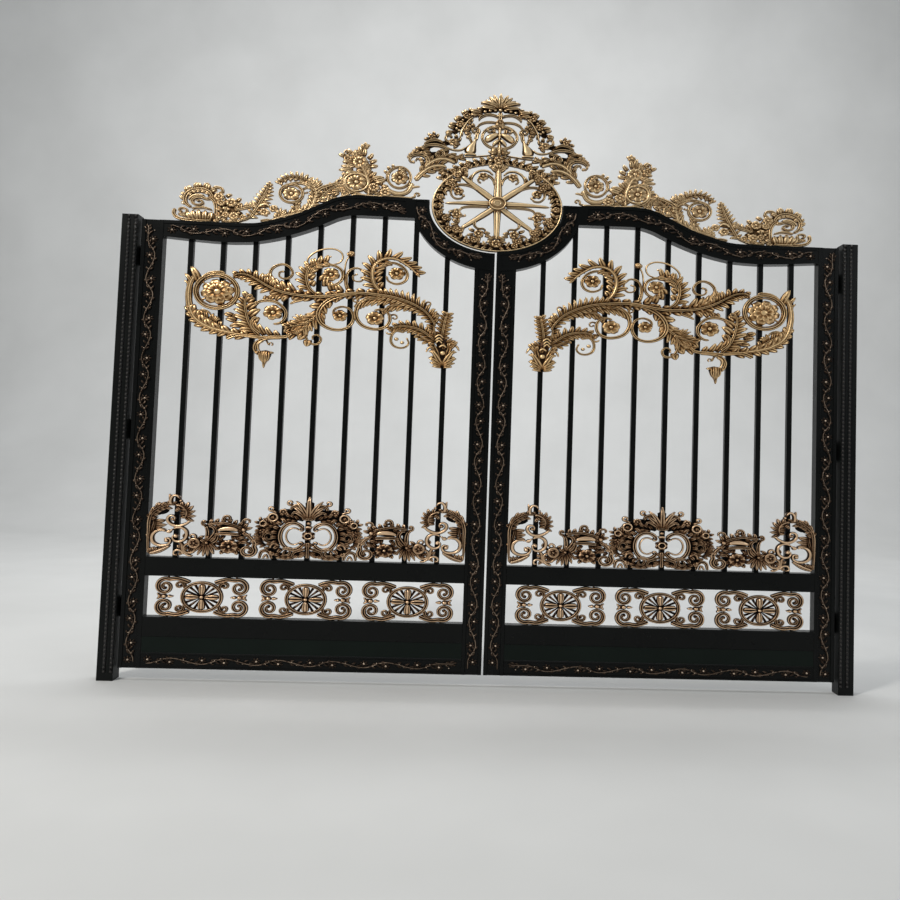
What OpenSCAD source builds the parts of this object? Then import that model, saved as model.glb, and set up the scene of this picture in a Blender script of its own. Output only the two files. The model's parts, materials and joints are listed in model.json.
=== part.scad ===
// Double leaf driveway gate: welded black frame, square bars, gilded cast ornament,
// crested arch over the middle, and the two steel jamb posts that carry the leaves.
// X runs along the opening, +Y points inward (the way the leaves open), +Z is up.
// The origin is the middle of the underside of the left post.

/* [Opening] */
// Distance between the outer edges of the two closed leaves
opening_w = 3600; // [3560:10:3660]
// Gap between a leaf and its post
post_gap = 12; // [10:1:16]
// Gap between the two meeting stiles
seam_gap = 10; // [8:1:12]
// Height of the leaf undersides above the ground
leaf_bottom = 60; // [50:1:70]

/* [Posts] */
// Side of the square jamb posts
post_w = 80; // [70:1:90]
// Height of the jamb posts
post_h = 2324; // [2300:1:2360]

/* [Frame] */
// Depth of the leaf frame, front to back
frame_d = 60; // [54:1:64]
// Width of the hinge stiles
stile_w = 109; // [100:1:116]
// Width of the meeting stiles
meet_w = 102; // [96:1:106]
// Depth of the ornament groove in the stiles and rails
groove_d = 4; // [2:0.5:5]
// Size of the small chamfers along the stiles and rails
edge_c = 2; // [1:0.5:3]

/* [Bars] */
// Side of the square bars
bar_w = 26; // [22:1:28]
// Number of bars in each leaf
bar_n = 9; // [9:1:9]

/* [Ornament] */
// Thickness of the scroll work
scroll_t = 20; // [16:1:22]
// Thickness of the crests that stand on the rails
crown_t = 24; // [20:1:28]
// Half width of the medallion
med_a = 342; // [338:1:344]
// Half height of the medallion
med_b = 236; // [232:1:238]

/* [Hinges] */
// Radius of the hinge barrels
barrel_r = 14; // [13:1:14]
// Radius of the hinge pins
pin_r = 7; // [6:0.5:8]
// Clearance around the hinge pins
pin_clear = 0.05; // [0.03:0.01:0.08]

/* [Hidden] */

half = opening_w / 2;               // gate centre to a leaf's outer edge
mid_x = half + post_gap + post_w / 2; // gate centre from the origin
front_y = -20;                      // front face of the leaf frame
rear_y = front_y + frame_d;         // rear face of the frame and the posts
bar_y = front_y + frame_d / 2;      // middle of the bars
face_y = bar_y - bar_w / 2;         // front face of the bars
stile_in = half - stile_w;          // inner edge of a hinge stile
meet_out = meet_w + seam_gap / 2;   // outer edge of a meeting stile
axis_y = rear_y + 16;               // hinge axis
axis_x = half + post_gap / 2;
mid_z = [514, 607];                 // middle rail, bottom and top
band_z = [215, 312];                // rail under the pierced band
foot_z = [leaf_bottom, 138];        // bottom rail
corner_z = 2306;                    // top of the hinge stiles
med_z = 2449;                       // middle of the medallion
black = "#15191a";
gold = "#a37a45";

// ---- curves ----
function cr(a, b, c, d, t) = 0.5 * (2 * b + (c - a) * t + (2 * a - 5 * b + 4 * c - d) * t * t + (3 * b - a - 3 * c + d) * t * t * t);
function spl(p, n = 4) = let (m = len(p)) [for (i = [0:m - 2]) for (k = [0:n - 1])
    cr(p[max(i - 1, 0)], p[i], p[i + 1], p[min(i + 2, m - 1)], k / n), p[m - 1]];
function nrm(p, i) = let (d = p[min(i + 1, len(p) - 1)] - p[max(i - 1, 0)]) [-d[1], d[0]] / norm(d);
function ell(c, a, b, t0, t1, n) = [for (k = [0:n]) let (t = t0 + (t1 - t0) * k / n) c + [a * cos(t), b * sin(t)]];
function rev(p) = [for (i = [len(p) - 1:-1:0]) p[i]];
// ribbon width along a stroke, w0 at the start, wm in the middle, w1 at the end
function wid(w0, wm, w1, t) = t < 0.5 ? w0 + (wm - w0) * t * 2 : wm + (w1 - wm) * (t * 2 - 1);

// a tapered ribbon along the points p
module stroke(p, w0 = 12, wm = 14, w1 = 8, n = 3) {
    q = spl(p, n);
    m = len(q) - 1;
    sheet() polygon(concat([for (i = [0:m]) q[i] + nrm(q, i) * wid(w0, wm, w1, i / m) / 2],
        [for (i = [m:-1:0]) q[i] - nrm(q, i) * wid(w0, wm, w1, i / m) / 2]));
}
// an open oval scroll: it runs from angle t0 to t1 and curls in to an eye of ra by rb
module curl(c, a, b, w, t0, t1, ra, rb, n = 16) {
    q = [for (k = [0:n]) let (f = k / n, t = t0 + (t1 - t0) * f, s = f < 0.55 ? 0 : pow((f - 0.55) / 0.45, 1.4))
        c + [((a - w / 2) * (1 - s) + ra * 0.7 * s) * cos(t), ((b - w / 2) * (1 - s) + rb * 0.7 * s) * sin(t)]];
    sheet() polygon(concat([for (i = [0:n]) q[i] + nrm(q, i) * w / 2], [for (i = [n:-1:0]) q[i] - nrm(q, i) * w / 2]));
    rose(c, ra, rb, 6);
}
module oval_ring(c, a, b, w, n = 36) {
    difference() {
        oval(c, a, b, n);
        hole() polygon(ell(c, a - w, b - w, 0, 360 - 360 / n, n - 1));
    }
}
module oval(c, a, b, n = 14) { sheet() polygon(ell(c, a, b, 0, 360 - 360 / n, n - 1)); }
// a rosette with petals
module rose(c, a, b, k = 8) {
    sheet() polygon([for (i = [0:k * 2 - 1]) c + [a * (i % 2 == 0 ? 1 : 0.78) * cos(i * 180 / k), b * (i % 2 == 0 ? 1 : 0.78) * sin(i * 180 / k)]]);
}
// a leaf blade from a to b, w wide
module blade(a, b, w) {
    d = b - a;
    s = [-d[1], d[0]] / norm(d) * w / 2;
    sheet() polygon([a - s * 0.3, a + d * 0.35 - s, a + d * 0.7 - s * 0.8, b, a + d * 0.7 + s * 0.8, a + d * 0.35 + s, a + s * 0.3]);
}
// children drawn flat in X and Z stand as a plate between y0 and y1
module plate(y0, y1) { $th = y1 - y0; translate([0, y1, 0]) rotate([90, 0, 0]) children(); }
// gives a flat outline the thickness of the plate, and an outline to cut away a little more
module sheet() { linear_extrude(height = $th) children(); }
module hole() { translate([0, 0, -1]) linear_extrude(height = $th + 2) children(); }
// the gate is drawn about its middle and moved to the origin here; the right leaf is the left one mirrored
module at_mid(side = -1) {
    translate([mid_x, 0, 0]) if (side < 0) children(); else mirror([1, 0, 0]) children();
}

// ---- top rail outline, left leaf ----
rail_top = [[-stile_in, 2306], [-1560, 2306], [-1400, 2305], [-1300, 2306], [-1220, 2311], [-1136, 2332], [-1038, 2362], [-944, 2404],
    [-850, 2450], [-790, 2469], [-740, 2475], [-600, 2475], [-440, 2472], [-390, 2468]];
rail_low = [[-stile_in, 2222], [-1620, 2217], [-1542, 2211], [-1396, 2204], [-1300, 2206], [-1220, 2213], [-1085, 2243], [-950, 2290],
    [-854, 2333], [-817, 2350], [-764, 2366], [-720, 2371], [-600, 2371], [-438, 2370]];
cradle_a = 438;
cradle_b = 336;
rail_join = 2469;                    // height at which the rail runs into the top of the cradle
t_low = 180 + acos((seam_gap / 2) / cradle_a);
t_mid = 180 - asin((2370 - med_z) / cradle_b);
t_top = 180 - asin((rail_join - med_z) / cradle_b);
function cradle_arc(n = 18) = ell([0, med_z], cradle_a, cradle_b, t_low, t_mid, n);
function cradle_end(n = 5) = ell([0, med_z], cradle_a, cradle_b, t_mid, t_top, n);
// angles at which the hoop of the medallion meets the rail and the seam
function hoop_t0(b) = 180 - asin((rail_join - med_z) / b);
function hoop_t1(a) = 180 + acos((seam_gap / 2) / a);
module rail_outline() {
    sheet() polygon(concat([for (p = spl(rail_top, 4)) if (p[0] < -446) p], rev(cradle_end()), rev([for (p = spl(rail_low, 4)) if (p[0] < -440) p])));
}
module cradle_outline(g) {
    a = med_a + g;
    b = med_b + g;
    sheet() polygon(concat(ell([0, med_z], a, b, hoop_t0(b), hoop_t1(a), 28), cradle_arc(), cradle_end()));
}
// the strips in the middle of the rail and of the cradle that carry the running vine
module rail_strip() {
    m = 16;
    sheet() polygon(concat([for (p = spl(rail_top, 4)) if (p[0] < -455) p + [0, -m]], rev([for (p = spl(rail_low, 4)) if (p[0] < -455) p + [0, m]])));
}
module cradle_strip(g) {
    m = 16;
    a = med_a + g + m;
    b = med_b + g + m;
    sheet() polygon(concat(ell([0, med_z], a, b, 178, 266, 26), ell([0, med_z], cradle_a - m, cradle_b - m, 265.2, 178, 26)));
}

// ---- straight members ----
// length along +Z of a section w wide and frame_d deep, with a groove on each face
module grooved_bar(w, len, margin) {
    c = edge_c;
    g = groove_d;
    a = margin;
    linear_extrude(height = len) polygon([[0, front_y + c], [c, front_y], [a, front_y], [a + 2, front_y + g], [w - a - 2, front_y + g], [w - a, front_y],
        [w - c, front_y], [w, front_y + c], [w, rear_y - c], [w - c, rear_y], [w - a, rear_y], [w - a - 2, rear_y - g], [a + 2, rear_y - g], [a, rear_y],
        [c, rear_y], [0, rear_y - c]]);
}
// a plain chamfered rail between x0 and x1, z0 and z1
module plain_rail(x0, x1, z0, z1) {
    c = edge_c;
    translate([x0, 0, 0]) rotate([90, 0, 90]) linear_extrude(height = x1 - x0)
        polygon([[front_y, z0 + c], [front_y + c, z0], [rear_y - c, z0], [rear_y, z0 + c], [rear_y, z1 - c], [rear_y - c, z1], [front_y + c, z1], [front_y, z1 - c]]);
}
module post() {
    translate([-post_w / 2, -post_w / 2, 0]) cube([post_w, post_w, post_h]);
}
hinge_z = [300, 1190, 2080];
module pins() {
    for (z = hinge_z) translate([-axis_x, axis_y, z]) {
        cylinder(r = barrel_r, h = 46, $fn = 48);
        cylinder(r = pin_r, h = 102, $fn = 48);
        translate([0, 0, 96]) cylinder(r = pin_r + 3, h = 6, $fn = 48);
        translate([-74, rear_y - axis_y, 2]) cube([74, 8, 42]);
    }
}
module knuckles() {
    for (z = hinge_z) translate([-axis_x, axis_y, z + 47]) difference() {
        union() {
            cylinder(r = barrel_r, h = 46, $fn = 48);
            translate([0, rear_y - axis_y, 2]) cube([96, 8, 42]);
        }
        translate([0, 0, -1]) cylinder(r = pin_r + pin_clear, h = 50, $fn = 48);
    }
}
module hinge_stile() { translate([-half, 0, leaf_bottom]) grooved_bar(stile_w, corner_z - leaf_bottom, 20); }
// everything above the underside of the top rail and the cradle
module above_rail() {
    hole() polygon(concat(spl(rail_low, 4), rev(cradle_arc()), [[100, 2100], [100, 2900], [-1700, 2900]]));
}
module meeting_stile() {
    difference() {
        translate([-meet_out, 0, leaf_bottom]) grooved_bar(meet_w, 2180 - leaf_bottom, 18);
        plate(front_y - 1, rear_y + 1) above_rail();
    }
}
module top_rail() {
    difference() {
        plate(front_y, rear_y) rail_outline();
        plate(front_y - 1, front_y + groove_d) rail_strip();
        plate(rear_y - groove_d, rear_y + 1) rail_strip();
    }
}
module cradle(g) {
    difference() {
        plate(front_y, rear_y) cradle_outline(g);
        plate(front_y - 1, front_y + groove_d) cradle_strip(g);
        plate(rear_y - groove_d, rear_y + 1) cradle_strip(g);
    }
}
module bottom_rail() {
    w = foot_z[1] - foot_z[0];
    translate([-stile_in, 0, foot_z[0]]) rotate([0, 90, 0]) mirror([1, 0, 0]) grooved_bar(w, stile_in - meet_out, 10);
}
module mid_rail() { plain_rail(-stile_in, -meet_out, mid_z[0], mid_z[1]); }
module band_rail() { plain_rail(-stile_in, -meet_out, band_z[0], band_z[1]); }
module kick_panel() { translate([-stile_in, front_y + 3, foot_z[1]]) cube([stile_in - meet_out, 28, band_z[0] - foot_z[1]]); }
module bars() {
    pitch = 163.1;
    difference() {
        for (i = [0:bar_n - 1]) translate([-249 - pitch * i - bar_w / 2, bar_y - bar_w / 2, mid_z[1]]) cube([bar_w, bar_w, 1850]);
        plate(bar_y - 40, bar_y + 40) above_rail();
    }
}

// ---- scroll panel of the left leaf ----
module scroll_outline() {
    // rosette in its ring, with the long side stem and the lower branch
    oval_ring([-1410, 1954], 119, 97, 20);
    rose([-1405, 1952], 84, 68);
    for (t = [45:90:315]) stroke([[-1407 + 60 * cos(t), 1953 + 50 * sin(t)], [-1409 + 104 * cos(t), 1954 + 84 * sin(t)]], 14, 14, 14, 1);
    stroke([[-1510, 2062], [-1538, 2010], [-1550, 1950], [-1548, 1890], [-1535, 1842], [-1489, 1797], [-1421, 1763], [-1353, 1745], [-1274, 1731], [-1183, 1723], [-1115, 1726], [-1047, 1746], [-1002, 1770], [-956, 1800], [-915, 1850], [-885, 1915]], 26, 42, 30);
    stroke([[-1545, 1950], [-1510, 1950]], 22, 22, 22, 1);
    blade([-1500, 2010], [-1522, 2076], 46);
    blade([-1470, 1810], [-1530, 1770], 40);
    // upper stem from the left tip to the bud on the right
    stroke([[-1262, 2040], [-1206, 2006], [-1160, 1972], [-1104, 1944], [-1036, 1927], [-956, 1921], [-888, 1927], [-809, 1946], [-730, 1964], [-662, 1972], [-594, 1972], [-525, 1961], [-469, 1944], [-412, 1921], [-355, 1887], [-318, 1850], [-290, 1790], [-268, 1730], [-263, 1690]], 14, 50, 40);
    // leaf between the ring and the second rosette
    stroke([[-1300, 1910], [-1262, 1860], [-1240, 1800], [-1200, 1725]], 24, 42, 24);
    blade([-1250, 1880], [-1268, 1944], 40);
    stroke([[-1245, 1855], [-1200, 1870], [-1180, 1862]], 22, 14, 14, 1);
    curl([-1121, 1859], 74, 57, 14, 170, -170, 40, 34);
    // small scroll over the stem
    curl([-1081, 2063], 60, 42, 11, 215, -120, 14, 12);
    stroke([[-1104, 1944], [-1138, 1985], [-1124, 2052]], 16, 14, 14);
    // third rosette with its hoop
    curl([-832, 2063], 68, 55, 14, 200, -150, 36, 30);
    stroke([[-850, 1935], [-935, 1965], [-965, 2030], [-940, 2080], [-893, 2050]], 30, 34, 16);
    curl([-868, 2116], 104, 76, 9, 190, -10, 8, 8);
    blade([-800, 2112], [-735, 2180], 36);
    curl([-705, 2057], 36, 34, 10, 290, 20, 10, 9);
    stroke([[-738, 1960], [-728, 1990], [-700, 2030]], 14, 14, 12);
    // fringed scroll
    stroke([[-560, 1965], [-602, 2000], [-612, 2060], [-590, 2120], [-530, 2155], [-460, 2150], [-415, 2115], [-400, 2070]], 40, 44, 16);
    curl([-503, 2078], 66, 56, 13, 130, -210, 36, 32);
    stroke([[-590, 2124], [-526, 2116]], 24, 16, 16, 1);
    // scrolls under the stem
    stroke([[-880, 1910], [-868, 1860], [-845, 1840]], 30, 16, 14);
    curl([-781, 1847], 70, 55, 14, 150, 470, 34, 28);
    stroke([[-655, 1975], [-695, 1930], [-692, 1870], [-670, 1845]], 16, 16, 14);
    curl([-611, 1842], 82, 55, 14, 170, 500, 36, 28);
    curl([-509, 1853], 26, 22, 9, 150, -140, 8, 7);
    stroke([[-535, 1860], [-545, 1900], [-530, 1962]], 12, 12, 14);
    stroke([[-510, 1755], [-480, 1780], [-430, 1785], [-360, 1762], [-285, 1740]], 20, 36, 30);
    stroke([[-519, 1734], [-508, 1758]], 16, 16, 16, 1);
    curl([-475, 1734], 48, 34, 11, 155, 470, 12, 10);
    // leaf and bud at the right end
    blade([-262, 1740], [-225, 1902], 62);
    blade([-263, 1710], [-263, 1606], 74);
    blade([-270, 1700], [-315, 1640], 36);
    blade([-256, 1700], [-212, 1642], 36);
    // bud and curl under the branch
    stroke([[-1190, 1735], [-1200, 1680], [-1195, 1630], [-1172, 1590]], 30, 40, 18);
    oval([-1156, 1638], 36, 34);
    stroke([[-1047, 1740], [-975, 1735], [-922, 1744]], 14, 14, 12);
    curl([-912, 1722], 36, 27, 10, 140, -190, 10, 8);
}
module scroll_panel() { plate(face_y - scroll_t, face_y) scroll_outline(); }

// ---- ornament on the middle rail ----
crest_edge = [[-1105, 607], [-1150, 640], [-1170, 700], [-1150, 760], [-1100, 840], [-1050, 870], [-980, 900], [-925, 905], [-893, 936],
    [-861, 905], [-806, 900], [-736, 870], [-690, 840], [-640, 780], [-622, 700], [-640, 640], [-681, 607]];
module crest_outline() {
    difference() {
        sheet() polygon(spl(crest_edge, 3));
        hole() polygon(ell([-972, 728], 58, 60, 0, 342, 19));
        hole() polygon(ell([-814, 728], 58, 60, 0, 342, 19));
    }
    difference() {
        oval([-975, 728], 40, 44, 16);
        hole() polygon(ell([-981, 728], 24, 30, 0, 330, 11));
        hole() translate([-1022, 728]) square([30, 36], center = true);
    }
    stroke([[-970, 762], [-935, 800]], 14, 14, 14, 1);
    difference() {
        oval([-811, 728], 40, 44, 16);
        hole() polygon(ell([-805, 728], 24, 30, 0, 330, 11));
        hole() translate([-764, 728]) square([30, 36], center = true);
    }
    stroke([[-816, 762], [-851, 800]], 14, 14, 14, 1);
}
module lower_crest() { plate(face_y - scroll_t, face_y) crest_outline(); }
module corner_outline() {
    // scroll in the corner, the arch piece and the smaller flowers on the way to the crest
    stroke([[-1683, 607], [-1683, 700], [-1686, 800], [-1650, 868], [-1580, 885], [-1515, 860], [-1490, 815], [-1515, 775], [-1560, 778]], 16, 36, 28);
    curl([-1634, 690], 54, 46, 14, 190, -150, 14, 12);
    stroke([[-1683, 730], [-1620, 752], [-1560, 745], [-1522, 712], [-1525, 660], [-1545, 620]], 18, 22, 20);
    stroke([[-1560, 622], [-1440, 620], [-1340, 622], [-1250, 620], [-1130, 622]], 30, 30, 30);
    rose([-1442, 671], 44, 40);
    stroke([[-1425, 630], [-1405, 700], [-1350, 750], [-1290, 765], [-1230, 750], [-1190, 700], [-1180, 630]], 26, 34, 20);
    rose([-1283, 671], 50, 44);
    blade([-1300, 750], [-1298, 800], 36);
    blade([-1400, 700], [-1415, 745], 24);
}
module corner_scrolls() {
    plate(face_y - scroll_t, face_y) difference() {
        intersection() {
            union() {
                corner_outline();
                translate([-1797, 0, 0]) mirror([1, 0, 0]) corner_outline();
            }
            hole() polygon([[-stile_in, 607], [-meet_out, 607], [-meet_out, 960], [-stile_in, 960]]);
        }
        hole() polygon(concat([[-1105, 600]], spl(crest_edge, 3), [[-681, 600]]));
    }
}

// ---- castings of the pierced band ----
module casting_quarter() {
    curl([-162, 52], 62, 45, 13, 60, 400, 16, 14, 12);
    curl([-98, 66], 32, 28, 10, 120, -200, 10, 9, 10);
    stroke([[-70, 92], [-120, 97], [-165, 96]], 11, 11, 11, 1);
    sheet() polygon([[-172, 0], [-150, 0], [-150, 14], [-172, 14]]);
}
module casting() {
    oval_ring([0, 0], 101, 78, 13, 28);
    for (i = [0:11]) let (c = cos(i * 30), d = sin(i * 30)) sheet() polygon([[-d * 3, c * 3], [92 * c - d * 7, 70 * d + c * 7], [92 * c + d * 7, 70 * d - c * 7], [d * 3, -c * 3]]);
    oval([0, 0], 20, 18, 12);
    for (i = [0, 1]) for (j = [0, 1]) mirror([i, 0, 0]) mirror([0, j, 0]) casting_quarter();
    for (s = [1, -1]) sheet() polygon([[s * 96, -6 * s], [s * 222, -6 * s], [s * 222, 6 * s], [s * 96, 6 * s]]);
}
module band_rosettes() {
    for (x = [-1413, -898, -388]) plate(bar_y - 11, bar_y + 11) intersection() {
        translate([x, (mid_z[0] + band_z[1]) / 2 - 2, 0]) casting();
        hole() polygon([[x - 300, band_z[1]], [x + 300, band_z[1]], [x + 300, mid_z[0]], [x - 300, mid_z[0]]]);
    }
}

// ---- crest on the top rail, left leaf ----
module crown_cut() { hole() polygon(concat(spl(rail_top, 4), [[-390, 1900], [-1700, 1900]])); }
module crown_end_outline() {
    difference() {
        union() {
            stroke([[-1650, 2380], [-1655, 2350], [-1620, 2322], [-1540, 2316], [-1460, 2318], [-1380, 2330], [-1290, 2325], [-1215, 2325]], 14, 40, 34);
            curl([-1622, 2362], 36, 30, 11, 190, -120, 10, 8);
            oval([-1505, 2352], 66, 40);
            curl([-1510, 2420], 78, 62, 18, 250, -60, 22, 18);
            stroke([[-1560, 2470], [-1500, 2497], [-1430, 2485], [-1400, 2450]], 16, 34, 30);
            rose([-1425, 2432], 50, 46);
            rose([-1372, 2410], 34, 34);
            rose([-1330, 2350], 56, 44);
            stroke([[-1400, 2390], [-1300, 2385], [-1240, 2412], [-1205, 2450], [-1182, 2530]], 30, 46, 16);
            blade([-1225, 2400], [-1165, 2460], 50);
            blade([-1240, 2420], [-1245, 2490], 30);
        }
        crown_cut();
    }
}
module crown_scrolls_outline() {
    difference() {
        union() {
            // foot flowers and first scroll
            stroke([[-1205, 2330], [-1140, 2375], [-1060, 2400], [-980, 2410], [-930, 2440]], 50, 44, 60);
            rose([-1180, 2372], 28, 24);
            rose([-1140, 2392], 28, 24);
            curl([-1062, 2476], 70, 56, 14, 200, -140, 38, 32);
            stroke([[-1120, 2500], [-1080, 2550], [-1010, 2560], [-965, 2520], [-945, 2450], [-950, 2400]], 16, 34, 30);
            stroke([[-935, 2440], [-900, 2500], [-860, 2540], [-815, 2580]], 24, 36, 30);
            stroke([[-1020, 2370], [-930, 2420], [-860, 2455], [-800, 2478], [-720, 2490], [-600, 2488], [-480, 2484], [-440, 2480]], 30, 30, 26);
            // middle scroll with its flower tuft
            curl([-731, 2550], 64, 52, 14, 200, -140, 40, 34);
            stroke([[-800, 2560], [-790, 2520], [-760, 2490]], 30, 24, 24);
            stroke([[-835, 2606], [-780, 2618], [-720, 2612], [-675, 2590], [-655, 2540], [-650, 2490]], 10, 30, 26);
            rose([-772, 2662], 38, 44);
            rose([-712, 2668], 42, 48);
            blade([-705, 2690], [-688, 2748], 34);
            stroke([[-740, 2630], [-690, 2640], [-655, 2600]], 50, 44, 16);
            rose([-640, 2524], 36, 40);
            rose([-584, 2504], 30, 28);
            // third scroll
            curl([-528, 2576], 72, 66, 15, 130, 470, 38, 34);
            stroke([[-620, 2540], [-600, 2515], [-540, 2500], [-480, 2512], [-456, 2545]], 26, 30, 16);
        }
        crown_cut();
        hole() polygon([[-444, 2400], [-300, 2400], [-300, 2800], [-444, 2800]]);
        hole() polygon([[-520, 2652], [-440, 2652], [-440, 2800], [-520, 2800]]);
    }
}
module crown_end() {
    plate(bar_y - crown_t / 2, bar_y + crown_t / 2) difference() {
        crown_end_outline();
        hole() polygon([[-1207, 2300], [-1100, 2300], [-1100, 2396], [-1207, 2396]]);
    }
}
module crown_scrolls() { plate(bar_y - crown_t / 2, bar_y + crown_t / 2) crown_scrolls_outline(); }

// ---- medallion and pediment, carried by the right leaf ----
module medallion() {
    plate(bar_y - 16, bar_y + 16) {
        difference() {
            sheet() polygon(concat(ell([0, med_z], med_a, med_b, hoop_t0(med_b), hoop_t1(med_a), 28),
                ell([0, med_z], med_a, med_b, 540 - hoop_t1(med_a), 540 - hoop_t0(med_b), 28), ell([0, med_z], med_a, med_b, 8, 172, 40)));
            hole() polygon(ell([0, med_z], 270, 186, 0, 352.5, 47));
        }
        for (i = [0:7]) let (t = i * 45)
            stroke([[20 * cos(t), 2465 + 16 * sin(t)], [276 * cos(t), med_z + 190 * sin(t)]], 20, 28, 40, 1);
        oval([0, 2465], 42, 34, 16);
        for (i = [0:7]) let (t = i * 45 + 22.5) {
            rose([165 * cos(t), 2456 + 114 * sin(t)], 36, 28, 6);
            stroke([[180 * cos(t), 2456 + 124 * sin(t)], [276 * cos(t), med_z + 190 * sin(t)]], 14, 16, 20, 1);
        }
    }
}
module medallion_hub() {
    translate([0, bar_y - 16, 2465]) rotate([90, 0, 0]) cylinder(r = 38, h = 12, $fn = 48);
    translate([0, bar_y - 28, 2465]) rotate([90, 0, 0]) cylinder(r = 20, h = 8, $fn = 32);
}
module pediment_half() {
    stroke([[-470, 2682], [-441, 2692], [-390, 2730], [-336, 2775], [-280, 2810], [-235, 2870], [-180, 2925], [-110, 2965], [-40, 2975], [0, 2975]], 44, 70, 50);
    stroke([[-432, 2590], [-410, 2610], [-370, 2640], [-315, 2662], [-245, 2688], [-170, 2706], [-90, 2712], [0, 2714]], 16, 44, 40);
    stroke([[-480, 2690], [-440, 2684], [-400, 2690], [-330, 2696]], 26, 44, 40);
    stroke([[-330, 2690], [-300, 2730], [-290, 2790]], 40, 60, 40);
    stroke([[-225, 2700], [-170, 2725], [-125, 2765], [-130, 2820], [-160, 2860], [-200, 2910]], 34, 30, 30);
    blade([-330, 2780], [-355, 2816], 40);
    stroke([[-170, 2700], [-110, 2730], [-60, 2744], [0, 2746]], 24, 24, 24);
    blade([-20, 2960], [-84, 3016], 44);
    blade([-60, 2960], [-120, 2995], 44);
    blade([-8, 2960], [-40, 3046], 44);
    stroke([[-97, 2840], [-90, 2890], [-50, 2920], [-20, 2950]], 16, 18, 18);
}
module pediment() {
    plate(bar_y - crown_t / 2, bar_y + crown_t / 2) difference() {
        union() {
            pediment_half();
            mirror([1, 0, 0]) pediment_half();
            blade([0, 2950], [0, 3058], 50);
            sheet() polygon(concat(ell([0, med_z], med_a, med_b, 40, 140, 24), [[-300, 2680], [-120, 2716], [120, 2716], [300, 2680]]));
        }
        hole() polygon(ell([0, med_z], med_a, med_b, 8, 172, 40));
        hole() polygon(ell([0, 2820], 92, 66, 0, 350, 35));
    }
}
module pediment_ring() {
    plate(bar_y - 14, bar_y + 14) {
        oval_ring([0, 2820], 92, 66, 14, 36);
        rose([0, 2812], 30, 28);
        for (s = [1, -1]) stroke([[s * 84, 2810], [s * 50, 2840], [s * 20, 2830]], 14, 14, 14);
        stroke([[0, 2762], [0, 2878]], 14, 14, 14, 1);
    }
}

// ---- pieces ----
module left_post() color(black) post();
module right_post() color(black) translate([2 * mid_x, 0, 0]) post();
module left_hinge_pins() color(black) at_mid() pins();
module right_hinge_pins() color(black) at_mid(1) pins();
module left_hinge_stile() color(black) at_mid() hinge_stile();
module right_hinge_stile() color(black) at_mid(1) hinge_stile();
module left_meeting_stile() color(black) at_mid() meeting_stile();
module right_meeting_stile() color(black) at_mid(1) meeting_stile();
module left_top_rail() color(black) at_mid() top_rail();
module right_top_rail() color(black) at_mid(1) top_rail();
module left_cradle() color(black) at_mid() cradle(10);
module right_cradle() color(black) at_mid(1) cradle(0);
module left_mid_rail() color(black) at_mid() mid_rail();
module right_mid_rail() color(black) at_mid(1) mid_rail();
module left_band_rail() color(black) at_mid() band_rail();
module right_band_rail() color(black) at_mid(1) band_rail();
module left_bottom_rail() color(black) at_mid() bottom_rail();
module right_bottom_rail() color(black) at_mid(1) bottom_rail();
module left_kick_panel() color(black) at_mid() kick_panel();
module right_kick_panel() color(black) at_mid(1) kick_panel();
module left_bars() color(black) at_mid() bars();
module right_bars() color(black) at_mid(1) bars();
module left_hinge_knuckles() color(black) at_mid() knuckles();
module right_hinge_knuckles() color(black) at_mid(1) knuckles();
module left_scroll_panel() color(gold) at_mid() scroll_panel();
module right_scroll_panel() color(gold) at_mid(1) scroll_panel();
module left_lower_crest() color(gold) at_mid() lower_crest();
module right_lower_crest() color(gold) at_mid(1) lower_crest();
module left_corner_scrolls() color(gold) at_mid() corner_scrolls();
module right_corner_scrolls() color(gold) at_mid(1) corner_scrolls();
module left_band_rosettes() color(gold) at_mid() band_rosettes();
module right_band_rosettes() color(gold) at_mid(1) band_rosettes();
module left_crown_end() color(gold) at_mid() crown_end();
module right_crown_end() color(gold) at_mid(1) crown_end();
module left_crown_scrolls() color(gold) at_mid() crown_scrolls();
module right_crown_scrolls() color(gold) at_mid(1) crown_scrolls();
module medallion_wheel() color(gold) at_mid() medallion();
module hub_boss() color(gold) at_mid() medallion_hub();
module pediment_arch() color(gold) at_mid() pediment();
module pediment_oval() color(gold) at_mid() pediment_ring();

left_post();
right_post();
left_hinge_pins();
right_hinge_pins();
left_hinge_stile();
left_meeting_stile();
left_top_rail();
left_cradle();
left_mid_rail();
left_band_rail();
left_bottom_rail();
left_kick_panel();
left_bars();
left_hinge_knuckles();
left_scroll_panel();
left_lower_crest();
left_corner_scrolls();
left_band_rosettes();
left_crown_end();
left_crown_scrolls();
right_hinge_stile();
right_meeting_stile();
right_top_rail();
right_cradle();
right_mid_rail();
right_band_rail();
right_bottom_rail();
right_kick_panel();
right_bars();
right_hinge_knuckles();
right_scroll_panel();
right_lower_crest();
right_corner_scrolls();
right_band_rosettes();
right_crown_end();
right_crown_scrolls();
medallion_wheel();  // medallion
hub_boss();  // medallion_hub
pediment_arch();  // pediment
pediment_oval();  // pediment_ring
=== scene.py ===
import json
import math

import bpy
import numpy as np
from mathutils import Matrix, Vector

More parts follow.
